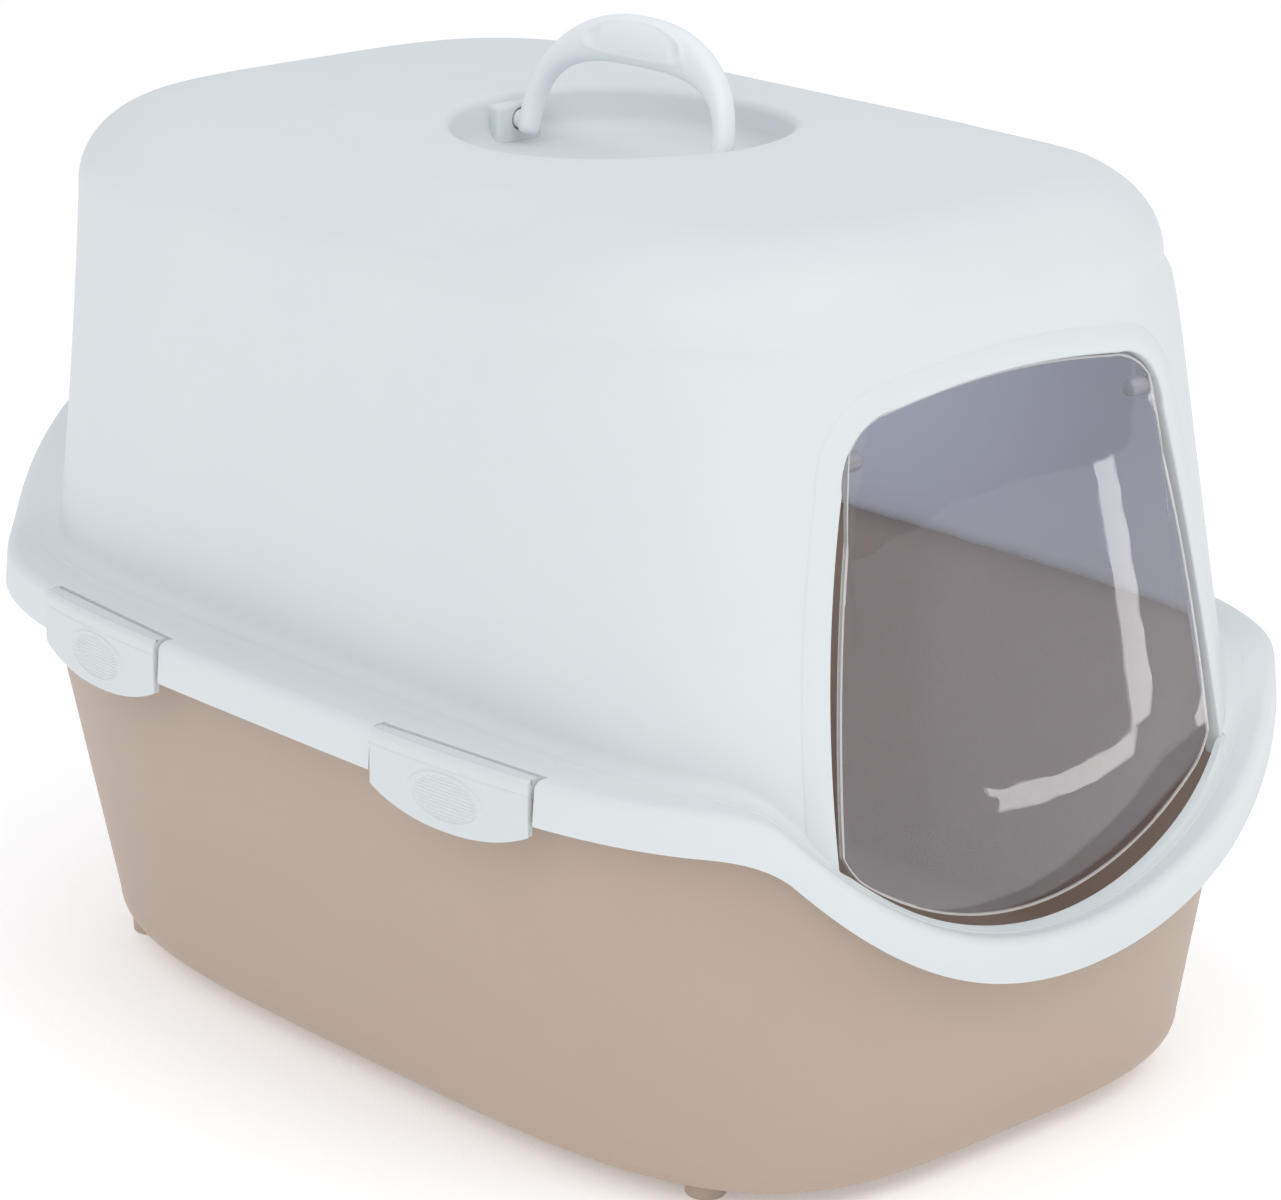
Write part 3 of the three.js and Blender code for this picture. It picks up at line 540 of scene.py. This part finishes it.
def recessRings(t):
    # from the middle of the recess's floor out to the roof
    h = hoodShape
    floor = h["roofEdge"] - h["recessDepth"] - t
    bend, out = h["recessBend"] + t, h["recessRadius"] + t - 3
    rings = [circleRing(radius, floor) for radius in (20, 40, 56)]
    for angle in quarter(8):
        rings.append(circleRing(out - bend * (1 - math.sin(angle)), floor + bend * (1 - math.cos(angle))))
    lip = h["recessLip"]
    for angle in quarter(8):
        radius = out + 1 + lip * (1 - math.cos(angle))
        rings.append(circleRing(radius, None, lip * (1 - math.sin(angle)) + t))
    return rings


def roofRings(t):
    inner = circleRing(hoodShape["recessRadius"] + 6 + t)
    outer = outline(roofPlan)
    rings = []
    for share in np.linspace(0, 1, 9)[1:-1]:
        x, y = mix(inner[:, 0], outer[0], share), mix(inner[:, 1], outer[1], share)
        rings.append(ring(x, y, roofHeight(x, y) - t))
    return rings


def hoodShell():
    h = hoodShape
    t = h["wall"]
    crease = rim["draft"] + rim["corner"]
    outer = [*recessRings(0), *roofRings(0)]
    outer += [filletRing(angle, 0) for angle in reversed(quarter(20))]
    outer += [wallRing(share, 0) for share in np.linspace(1, 0, 25)[1:]]
    outer += [footRing(angle, 0) for angle in quarter(8, 1)]
    edge = inset(rimPlan, crease)
    outer += [flangeRing(edge, 0.06, 0), flangeRing(edge, 0.09, 0, -h["stepDepth"])]
    for share in (0.3, 0.5, 0.7, 0.9):
        outer.append(flangeRing(edge, share, 0, -h["stepDepth"] * (1 - share)))
    for angle in reversed(quarter(8)):
        plan = inset(rimPlan, rim["draft"] + rim["corner"] * (1 - math.cos(angle)))
        outer.append(rimRing(plan, flangeTop - rim["corner"] * (1 - math.sin(angle))))
    outer.append(rimRing(inset(rimPlan, 0.1), rim["bottom"] + 1.2))
    outer.append(rimRing(inset(rimPlan, 0.4), rim["bottom"] + 0.3))
    outer.append(rimRing(inset(rimPlan, 1.0), rim["bottom"]))
    inner = [rimRing(inset(rimPlan, t), rim["bottom"] + 0.1)]
    for angle in quarter(3):
        plan = inset(rimPlan, t + rim["draft"] + (rim["corner"] - t) * (1 - math.cos(angle)))
        inner.append(rimRing(plan, flangeTop - t - (rim["corner"] - t) * (1 - math.sin(angle))))
    edge = inset(rimPlan, t + rim["draft"] + rim["corner"] - t)
    inner += [flangeRing(edge, share, t) for share in (0.66, 0.33)]
    inner += [footRing(angle, t) for angle in reversed(quarter(4))]
    inner += [wallRing(share, t) for share in np.linspace(0, 1, 13)[1:]]
    inner += [filletRing(angle, t) for angle in quarter(12)]
    inner += [*reversed(roofRings(t)), *reversed(recessRings(t))]
    floor = h["roofEdge"] - h["recessDepth"]
    middle = h["recessMiddle"]
    points, faces = lofted(outer + inner, (0, middle, floor), (0, middle, floor - t))
    return makePiece("hoodShell", points, faces, whitePlastic)


# The doorway, from its sill in the rim up to its crown, and the raised bead round it
doorwayShape = {
    "drop": 60.7, "sillHalf": 114.0, "pinch": 23.0, "pinchPower": 2.3, "corner": 28.5, "crown": 4.8,
    "sillWidth": 18.5, "lip": 8.5, "cutGrow": 1.5, "beadHeight": 1.8, "beadWidth": 11.5, "beadEdge": 1.4,
    "beadFoot": 9.0, "earHalf": 7.0,
}
doorwayTop = hoodShape["roofEdge"] - doorwayShape["drop"]
pivot = jointAt["door_swing"]
sillPlan = inset(rimPlan, doorwayShape["sillWidth"])


def doorwayHalf(z):
    sill = flangeTop - rim["frontDip"]
    up = np.clip((z - sill) / (pivot[2] - sill), 0, 1)
    return doorwayShape["sillHalf"] - doorwayShape["pinch"] * up ** doorwayShape["pinchPower"]


cornerHeight = doorwayTop - doorwayShape["corner"] - doorwayShape["crown"]
cornerMiddle = float(doorwayHalf(cornerHeight)) - doorwayShape["corner"]


def sillTop(x):
    back = (1 - np.abs(x / sillPlan[0]) ** sillPlan[3]) ** (1 / sillPlan[3])
    return flangeTop + wave(x, sillPlan[1] * back)


def wallFront(x, z):
    # the outer face of the front wall at a place
    half, front, rear, frontSquare, _ = wallPlan(z, 0)
    share = np.clip(np.abs(x / half), 0, 0.999)
    middle = (front + rear) / 2
    return middle - (rear - front) / 2 * (1 - share ** frontSquare) ** (1 / frontSquare)


def doorwayOutline(bottom, grow=0.0, sideSteps=40):
    # from the right foot up, over the top and down to the left foot, in X and Z
    z = np.linspace(bottom, cornerHeight, sideSteps)
    right = [(doorwayHalf(v) + grow, v) for v in z]
    radius = doorwayShape["corner"] + grow
    for angle in quarter(14, 1):
        right.append((cornerMiddle + radius * math.cos(angle), cornerHeight + radius * math.sin(angle)))
    for share in np.linspace(1, 0, 16)[1:]:
        rise = doorwayShape["crown"] * (1 - share ** 2)
        right.append((cornerMiddle * share, cornerHeight + radius + rise))
    left = [(-x, v) for x, v in reversed(right[:-1])]
    return np.array(right + left)


def prism(flat, yLow, yHigh):
    # an outline in X and Z, reaching along Y
    count = len(flat)
    near = np.column_stack([flat[:, 0], np.full(count, yLow), flat[:, 1]])
    far = near + (0, yHigh - yLow, 0)
    faces = [tuple(range(count)), tuple(range(2 * count - 1, count - 1, -1))]
    faces += [(k, k + count, (k + 1) % count + count, (k + 1) % count) for k in range(count)]
    points = np.vstack([near, far])
    return points, outward(points, faces)


def cutDoorway(shell):
    grow = doorwayShape["cutGrow"]
    foot = float(sillTop(doorwayShape["sillHalf"]))
    deep = -halfLength + hoodShape["frontSetback"] + 20
    sides = doorwayOutline(foot, grow)
    x = np.linspace(-doorwayShape["sillHalf"], doorwayShape["sillHalf"], 61)[1:-1]
    sill = np.column_stack([x, sillTop(x) + 0.3])
    cutFrom(shell, *prism(np.vstack([sides, sill]), -halfLength - 10, deep))
    # below the sill's level the opening stops at a line inside the rim
    edgeX = np.linspace(-doorwayShape["sillHalf"], doorwayShape["sillHalf"], 61)
    edgeY = sillPlan[1] * (1 - np.abs(edgeX / sillPlan[0]) ** sillPlan[3]) ** (1 / sillPlan[3])
    low, high = 60.0, foot + 2
    base = np.vstack([np.column_stack([edgeX, edgeY]), [(edgeX[-1], deep), (edgeX[0], deep)]])
    count = len(base)
    points = np.vstack([np.column_stack([base, np.full(count, v)]) for v in (low, high)])
    faces = [tuple(range(count)), tuple(range(2 * count - 1, count - 1, -1))]
    faces += [(k, k + count, (k + 1) % count + count, (k + 1) % count) for k in range(count)]
    cutFrom(shell, points, outward(points, faces))


def doorwayBead():
    # a soft raised band round the opening, rolled over its edge and turned in
    d = doorwayShape
    flat = doorwayOutline(float(sillTop(d["sillHalf"])) - d["beadFoot"], 0.0, 90)
    step = np.gradient(flat, axis=0)
    normal = np.column_stack([step[:, 1], -step[:, 0]])
    normal /= np.linalg.norm(normal, axis=1)[:, None]
    profile = [(d["beadWidth"], -1.8), (d["beadWidth"], -0.15)]
    for share in np.linspace(0.1, 1, 10):
        rise = d["beadHeight"] * math.sin(math.pi * 0.72 * share)
        profile.append((mix(d["beadWidth"], d["beadEdge"], share), rise))
    top = profile[-1][1]
    for angle in quarter(6, 1):
        profile.append((d["beadEdge"] * (1 - math.sin(angle)), top - d["beadEdge"] * (1 - math.cos(angle))))
    profile += [(0.0, -6.0), (0.05, -d["lip"] + 0.8), (0.5, -d["lip"]), (1.6, -d["lip"])]
    profile += [(2.1, -d["lip"] + 0.6), (2.3, -4.5), (4.0, -2.2)]
    rings = []
    for (x, z), (nx, nz) in zip(flat, normal):
        row = []
        for out, proud in profile:
            px, pz = x + nx * out, z + nz * out
            row.append((px, float(wallFront(px, pz)) - proud, pz))
        rings.append(np.array(row))
    points, faces = lofted(rings, rings[0].mean(axis=0), rings[-1].mean(axis=0))
    return makePiece("doorwayBead", points, faces, whitePlastic)


def doorSockets():
    # small rounded ears behind the doorway's sides, which the door's stubs reach into
    parts, ear = [], doorwayShape["earHalf"]
    half = float(doorwayHalf(pivot[2]))
    for side in (-1, 1):
        reach = sorted((side * (half - 1.5), side * (half + ear)))
        low = (reach[0], pivot[1] - 3.0, pivot[2] - ear)
        high = (reach[1], pivot[1] + ear, pivot[2] + ear)
        parts.append(box(low, high))
    ears = makePiece("doorSockets", *joined(parts), whitePlastic)
    modify(ears, "BEVEL", width=1.6 * mm, segments=3)
    bakeModifiers(ears)
    return ears


# The carrying handle, its thumb pad, and the blocks it turns in
handleShape = {
    "span": 119.0, "rise": 54.1, "under": 32.5, "legThickness": 8.0, "legWidth": 10.0, "gripWidth": 13.0,
    "pinRadius": 4.3, "pinLength": 7.0, "sideGap": 2.0, "lean": 16.0, "blockWidth": 26.0,
    "padHalf": 31.0, "padRaise": 0.55, "dimple": 1.0, "underSquare": 3, "riseSquare": 2.25, "section": 0.82,
}
handlePivot = jointAt["handle_fold"]
blockFace = handleShape["span"] / 2 + handleShape["legThickness"] / 2 + handleShape["sideGap"]


def pivotBlocks():
    # a block at each end of the recess, rounded over, with a round socket for the handle's pin
    middle, parts = hoodShape["recessMiddle"], []
    top = hoodShape["roofEdge"] + 0.8
    low = hoodShape["roofEdge"] - hoodShape["recessDepth"] - 1
    half = handleShape["blockWidth"] / 2
    for end in (-1, 1):
        reach = sorted((middle + end * blockFace, middle + end * (hoodShape["recessRadius"] + 4)))
        parts.append(box((-half, reach[0], low), (half, reach[1], top)))
    blocks = makePiece("pivotBlocks", *joined(parts), whitePlastic)
    modify(blocks, "BEVEL", width=2.2 * mm, segments=4)
    bakeModifiers(blocks)
    for end in (-1, 1):
        start = (0, middle + end * (blockFace - 1), handlePivot[2])
        stop = (0, middle + end * (blockFace + handleShape["pinLength"] - 0.5), handlePivot[2])
        radius = handleShape["pinRadius"] + 0.7
        cutFrom(blocks, *rod(start, stop, [(0, radius), (1, radius)]))
    return blocks


def archPoint(angle, half, rise, square):
    c, s = math.cos(angle), max(math.sin(angle), 0.0)
    return half * math.copysign(abs(c) ** (2 / square), c), rise * s ** (2 / square)


def carryHandle():
    h = handleShape
    outerHalf, innerHalf = (h["span"] + h["legThickness"]) / 2, (h["span"] - h["legThickness"]) / 2
    sides = 64
    spin = np.linspace(0, 2 * math.pi, sides, endpoint=False)
    c, s = np.cos(spin), np.sin(spin)
    across = np.sign(c) * np.abs(c) ** h["section"]
    depth = np.sign(s) * np.abs(s) ** h["section"]

    def section(inner, outer, width, shrink, along=None):
        share = 0.5 + 0.5 * shrink * across
        y, z = mix(inner[0], outer[0], share), mix(inner[1], outer[1], share)
        x = width / 2 * shrink * depth
        if along is not None:
            # the thumb pad's raised outline on one broad face, and a dimple near each end
            face = smooth((-depth - 0.55) / 0.3)
            pad = (abs(along) / h["padHalf"]) ** 2.6 + np.abs(across / 0.74) ** 2.2
            x = x - face * h["padRaise"] * np.exp(-((pad - 1) / 0.16) ** 2)
            spot = np.hypot((abs(along) - h["padHalf"] + 6) / 3.0, across * 7.5 / 3.0)
            x = x + face * h["dimple"] * np.exp(-spot ** 3)
        return np.column_stack([x, y, z])

    def tip(sign, drop, shrink):
        return section((sign * innerHalf, -drop), (sign * outerHalf, -drop), h["legWidth"], shrink)

    angles = np.linspace(0, math.pi, 261)
    inners = [archPoint(a, innerHalf, h["under"], h["underSquare"]) for a in angles]
    outers = [archPoint(a, outerHalf, h["rise"], h["riseSquare"]) for a in angles]
    middles = (np.array(inners) + np.array(outers)) / 2
    steps = np.linalg.norm(np.diff(middles, axis=0), axis=1)
    alongArch = np.concatenate([[0], np.cumsum(steps)])
    alongArch -= alongArch[len(angles) // 2]
    # rounded ends of the legs: how far below the pins, and how wide there
    tips = ((5.8, 0.3), (5.4, 0.62), (4.6, 0.84), (3.2, 0.97), (1.6, 1.0))
    rings = [tip(1, drop, width) for drop, width in tips]
    for angle, inner, outer, along in zip(angles, inners, outers, alongArch):
        width = mix(h["legWidth"], h["gripWidth"], math.sin(angle) ** 2)
        rings.append(section(inner, outer, width, 1, along))
    rings += [tip(-1, drop, width) for drop, width in reversed(tips)]
    bow = lofted(rings, rings[0].mean(axis=0), rings[-1].mean(axis=0))
    pins = []
    for sign in (-1, 1):
        start = (0, sign * h["span"] / 2, 0)
        stop = (0, sign * (blockFace + h["pinLength"] - 1.5), 0)
        r = h["pinRadius"]
        pins.append(rod(start, stop, [(0, r), (0.9, r), (0.97, r - 0.3), (1, r - 0.9)]))
    points, faces = joined([bow, *pins])
    lean = math.radians(h["lean"])
    x = points[:, 0] * math.cos(lean) + points[:, 2] * math.sin(lean)
    z = points[:, 2] * math.cos(lean) - points[:, 0] * math.sin(lean)
    points = np.column_stack([x, points[:, 1] + handlePivot[1], z + handlePivot[2]])
    return makePiece("carryHandle", points, faces, gripPaintedLightPlastic)


# The side clips that hold the hood down on the tray
clipShape = {
    "length": 88.0, "middle": 116.0, "gap": 1.8, "proud": 0.6, "plate": 2.8, "drop": 28.0, "endDrop": 19.0,
    "hingeInset": 4.6, "hingeDrop": 3.8, "barrel": 4.3, "pin": 1.5, "pinLength": 3.6, "top": 4.4,
    "padLength": 42.0, "padHeight": 21.0, "padRaise": 0.55, "ribPitch": 1.5,
    "ribDepth": 0.35, "shelf": 0.8, "topRound": 2.8, "padDrop": 14.0,
}
clipHinge = flangeTop - clipShape["hingeDrop"]


def rimPlace(side, y, out):
    # a place outside the skirt, by distance along Y
    n = np.where(y < 0, rim["frontSquare"], rim["rearSquare"])
    share = np.abs(y / halfLength)
    x = halfWidth * (1 - share ** n) ** (1 / n)
    nx, ny = (x / halfWidth) ** (n - 1) / halfWidth, np.sign(y) * share ** (n - 1) / halfLength
    size = np.hypot(nx, ny)
    return side * (x + nx / size * out), y + ny / size * out


def hingeEnds(side, end, reach):
    half = clipShape["length"] / 2
    ends = [rimPlace(side, end * clipShape["middle"] + s * half, -clipShape["hingeInset"]) for s in (-1, 1)]
    first, last = [np.array([float(v[0]), float(v[1]), clipHinge]) for v in ends]
    middle, along = (first + last) / 2, (last - first) / np.linalg.norm(last - first)
    return middle - along * reach, middle + along * reach


def clipFace(side, end, u, v, back=False):
    # u runs along the clip and v from its top to its lower edge, both from 0 to 1
    c = clipShape
    t = 2 * u - 1
    drop = mix(c["endDrop"], c["drop"], (1 - np.abs(t) ** 2.2) ** 0.9)
    y = end * c["middle"] + t * c["length"] / 2
    top = clipHinge + c["top"]
    z = top - (drop + c["top"]) * v
    depth = top - z
    rounding = c["topRound"] * (1 - np.sqrt(np.clip(1 - (1 - np.clip(depth / 3.2, 0, 1)) ** 2, 0, 1)))
    if back:
        out = np.minimum(c["proud"] - c["plate"] + 0 * z, c["proud"] - c["plate"] - 0.01)
    else:
        padX, padZ = t * c["length"] / c["padLength"], (z - clipHinge + c["padDrop"]) / (c["padHeight"] / 2)
        pad = np.hypot(padX, padZ)
        ridge = c["padRaise"] * np.exp(-((pad - 0.94) / 0.06) ** 4)
        ribs = 0.5 + 0.5 * np.cos(2 * math.pi * z / c["ribPitch"])
        inside = smooth((0.84 - pad) / 0.05)
        line = -0.25 * np.exp(-((depth - 6.2) / 0.5) ** 2)
        out = c["proud"] - rounding + ridge + inside * (ribs * c["ribDepth"] - 0.15) + line
    x, y = rimPlace(side, y, out)
    return np.stack([x, y, z], axis=-1)


def sideClip(side, end):
    c = clipShape
    u, v = np.meshgrid(np.linspace(0, 1, 301), np.linspace(0, 1, 261))
    plate = slab(clipFace(side, end, u, v), clipFace(side, end, u, v, True))
    # the flat top reaches in over the barrel and closes the slot in the flange
    u, share = np.meshgrid(np.linspace(0, 1, 41), np.linspace(0, 1, 5))
    y = end * c["middle"] + (u - 0.5) * c["length"]
    x, y = rimPlace(side, y, mix(-c["hingeInset"] - c["shelf"], c["proud"] - 2.0, share))
    top = np.stack([x, y, np.full_like(x, clipHinge + c["top"] - 0.1)], axis=-1)
    shelf = slab(top, top - (0, 0, 2.2))
    pin = [(0, c["pin"]), (1, c["pin"])]
    reach = c["length"] / 2
    rods = [
        rod(*hingeEnds(side, end, reach), [(0, c["barrel"]), (1, c["barrel"])]),
        rod(*hingeEnds(side, end, reach + c["gap"] + c["pinLength"]), pin),
    ]
    name = f"sideClip.{'front' if end < 0 else 'rear'}.{'left' if side < 0 else 'right'}"
    return makePiece(name, *joined([plate, shelf, *rods]), clipPaintedShadePlastic, 45)


def cutClipSlots(shell):
    c = clipShape
    for side in (-1, 1):
        for end in (-1, 1):
            start, stop = hingeEnds(side, end, c["length"] / 2 + c["gap"])
            along = (stop - start) / np.linalg.norm(stop - start)
            out = np.array([along[1], -along[0], 0]) * side
            inward, past = c["top"] + 0.1, c["hingeInset"] + 15
            corners = []
            for z in (rim["bottom"] - 12 - clipHinge, 12.0):
                for base, far in ((start, -inward), (start, past), (stop, past), (stop, -inward)):
                    corners.append(base + out * far + (0, 0, z))
            faces = [(0, 1, 2, 3), (7, 6, 5, 4), (0, 4, 5, 1), (1, 5, 6, 2), (2, 6, 7, 3), (3, 7, 4, 0)]
            points = np.array(corners)
            cutFrom(shell, points, outward(points, faces))


# The litter tray, with its rolled lip and round feet
trayShape = {
    "foot": 5.85, "footRadius": 8.5, "footInsetX": 78.0, "footInsetY": 93.0, "baseInset": 37.9,
    "baseFront": 29.7, "baseRear": 49.5, "baseSquare": 3.9, "baseFillet": 19.3, "topInset": 15.7,
    "topEndInset": 11.9, "lipInset": 11.0, "lipEndInset": 5.0, "lipHeight": 6.0, "wall": 2.5,
}
lipTop = flangeTop - hoodShape["wall"] - rim["lipGap"]
trayBase = (
    halfWidth - trayShape["baseInset"], -halfLength + trayShape["baseFront"],
    halfLength - trayShape["baseRear"], trayShape["baseSquare"], trayShape["baseSquare"],
)


def trayRing(share, t):
    s = trayShape
    topX, topY = outline(inset(rimPlan, s["topInset"] + t, s["topEndInset"] + t))
    baseX, baseY = outline(inset(trayBase, t))
    z = mix(s["foot"] + s["baseFillet"], lipTop - s["lipHeight"] + wave(topX, topY), share)
    return ring(mix(baseX, topX, share), mix(baseY, topY, share), z)


def trayBottom(angle, t):
    s = trayShape
    bend = s["baseFillet"] - t
    x, y = outline(inset(trayBase, s["baseFillet"] - bend * math.sin(angle)))
    return ring(x, y, s["foot"] + s["baseFillet"] - bend * math.cos(angle))


def trayShell():
    s = trayShape
    t = s["wall"]
    lip = inset(rimPlan, s["lipInset"], s["lipEndInset"])
    mouth = inset(rimPlan, s["topInset"] + t, s["topEndInset"] + t)
    shares = np.linspace(0, 1, 15)
    middle = (trayBase[1] + trayBase[2]) / 2
    level = inset(trayBase, s["baseFillet"])
    rings = []
    for share in (0.3, 0.6, 0.85):
        x, y = outline(level)
        rings.append(ring(x * share, mix(middle, y, share), s["foot"]))
    rings += [trayBottom(angle, 0) for angle in quarter(12)[:-1]]
    rings += [trayRing(share, 0) for share in shares]
    rings.append(rimRing(inset(lip, 0.3), lipTop - s["lipHeight"]))
    rings.append(rimRing(lip, lipTop - s["lipHeight"] + 0.6))
    rings += [rimRing(lip, lipTop - 0.8), rimRing(inset(lip, 0.8), lipTop)]
    rings += [rimRing(mouth, lipTop), *[trayRing(share, t) for share in shares[:-1][::-1]]]
    rings += [trayBottom(angle, t) for angle in quarter(8)[:-1][::-1]]
    points, faces = lofted(rings, (0, middle, s["foot"]), (0, middle, s["foot"] + t))
    parts = [(points, faces)]
    for side in (-1, 1):
        for end in (-1, 1):
            x, y = side * (halfWidth - s["footInsetX"]), end * (halfLength - s["footInsetY"])
            r = s["footRadius"]
            stud = [(0, r - 1.2), (0.06, r - 0.5), (0.16, r), (1, r)]
            parts.append(rod((x, y, 0), (x, y, s["foot"] + t / 2), stud, 48))
    return makePiece("trayShell", *joined(parts), beigePlastic)


# The clear swing door
doorShape = {
    "gap": 4.0, "topGap": 1.5, "sillGap": 2.0, "thickness": 1.8, "corner": 14.0, "topSetback": 4.5,
    "lean": 32.2, "foldSlope": 0.1, "foldFrom": 28.0, "foldTo": 58.0, "pivotGap": 2.0, "band": 1.2,
    "stubRadius": 3.0, "stubLength": 6.0,
}


def doorEdgeY(z):
    down = (doorwayTop - z) / (doorwayTop - float(sillTop(0.0)))
    front = float(wallPlan(doorwayTop, 0)[1])
    return front + doorShape["topSetback"] - doorShape["lean"] * down


def doorTopAt(x):
    past = np.maximum(np.abs(x) - cornerMiddle, 0)
    radius = doorwayShape["corner"] - doorShape["topGap"]
    crown = doorwayShape["crown"] * np.clip(1 - (x / cornerMiddle) ** 2, 0, 1)
    return cornerHeight + np.sqrt(np.maximum(radius ** 2 - past ** 2, 0)) + crown


def doorBottomAt(x):
    start = doorwayShape["sillHalf"] - doorShape["gap"] - doorShape["corner"]
    past = np.maximum(np.abs(x) - start, 0) / doorShape["corner"]
    return sillTop(x) + doorShape["sillGap"] + doorShape["corner"] / 2 * past ** 3


def doorPanel():
    d = doorShape
    low = float(doorBottomAt(doorwayShape["sillHalf"] - d["gap"]))
    # points crowd towards the border, where the panel bends most
    spread = -np.cos(np.linspace(0, math.pi, 141))
    across, up = np.meshgrid(spread, 0.5 + 0.5 * spread)
    half = doorwayHalf(mix(low, cornerHeight, up)) - d["gap"] - d["pivotGap"] * up ** 6
    x = across * half
    bottom, top = doorBottomAt(x), doorTopAt(x)
    z = mix(bottom, top, up)

    def lift(distance):
        # straight flanks, eased into the flat middle over the fold
        reach = np.linspace(0, d["foldTo"], 80)
        slope = 1 - smooth((reach - d["foldFrom"]) / (d["foldTo"] - d["foldFrom"]))
        height = np.concatenate([[0], np.cumsum((slope[1:] + slope[:-1]) / 2)]) * reach[1] * d["foldSlope"]
        return np.interp(distance, reach, height)

    full = float(lift(d["foldTo"]))
    bulge = lift(half - np.abs(x)) * lift(z - bottom) * lift(top - z) / full ** 2
    front = np.stack([x, doorEdgeY(z) - bulge, z], axis=-1)
    points, faces = slab(front, front + (0, d["thickness"], 0))
    panel = makePiece("doorPanel", points, faces, clearPlastic, 40)
    panel.data.materials.append(edgeFrostAndHighlightPlastic)
    # the cut edge is frosted and scatters light; it and a thin band of the faces along the border get the
    # pale material, partly painted highlight for the light the edge catches, so they read as a pale line
    # round the door
    border = np.minimum(np.minimum(half - np.abs(x), z - bottom), top - z).ravel()
    for face in panel.data.polygons:
        if max(border[v % border.size] for v in face.vertices) < d["band"]:
            face.material_index = 1
    modify(panel, "BEVEL", width=0.45 * mm, segments=2, limit_method="ANGLE", angle_limit=math.radians(60))
    bakeModifiers(panel)
    return panel


def doorStubs():
    d = doorShape
    half = float(doorwayHalf(pivot[2]))
    parts = []
    for side in (-1, 1):
        knuckle = [(0, 2.2), (0.05, 3.1), (0.14, 3.7), (0.3, 4.0), (1, 4.0)]
        start = (side * (half - d["gap"] - 9), pivot[1], pivot[2])
        parts.append(rod(start, (side * (half - d["gap"]), pivot[1], pivot[2]), knuckle))
        pin = [(0, d["stubRadius"]), (0.95, d["stubRadius"]), (1, d["stubRadius"] - 0.5)]
        start = (side * (half - d["gap"] - 5), pivot[1], pivot[2])
        parts.append(rod(start, (side * (half + d["stubLength"] - 2), pivot[1], pivot[2]), pin))
    return makePiece("doorStubs", *joined(parts), edgeFrostAndHighlightPlastic)


def floorSheet():
    far = view["floorSize"] / 2
    mesh = bpy.data.meshes.new("paperFloor")
    mesh.from_pydata([(-far, -far, 0), (far, -far, 0), (far, far, 0), (-far, far, 0)], [], [(0, 1, 2, 3)])
    mesh.materials.append(paperMatt())
    sheet = bpy.data.objects.new("paperFloor", mesh)
    bpy.context.scene.collection.objects.link(sheet)


def place(piece, body, slot, *nodes):
    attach(piece, body)
    if nodes:
        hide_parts(*nodes)


bpy.context.scene.view_settings.view_transform = "Standard"
makeCamera()
makeLights()
floorSheet()
print("camera, lights and floor made")

hood = hoodShell()
cutDoorway(hood)
cutClipSlots(hood)
place(hood, "hood", "hood_plastic", "hood")
print("hood shell cut,", len(hood.data.vertices), "points")
place(doorwayBead(), "hood", "hood_plastic")
place(doorSockets(), "hood", "hood_plastic")
place(pivotBlocks(), "hood", "hood_plastic")
print("bead, sockets and blocks made")
place(carryHandle(), "handle", "handle_plastic", "handle")
print("handle made")
for side in (-1, 1):
    for end in (-1, 1):
        body = f"clip_{'front' if end < 0 else 'rear'}_{'left' if side < 0 else 'right'}"
        place(sideClip(side, end), body, "clip_plastic", body)
print("clips made")
place(trayShell(), "tray", "tray_plastic", "tray")
print("tray made")
panel = doorPanel()
panel.visible_shadow = False  # clear sheet throws next to no shadow
place(panel, "door", "door_plastic", "door")
place(doorStubs(), "door", "door_plastic")
print("door made")
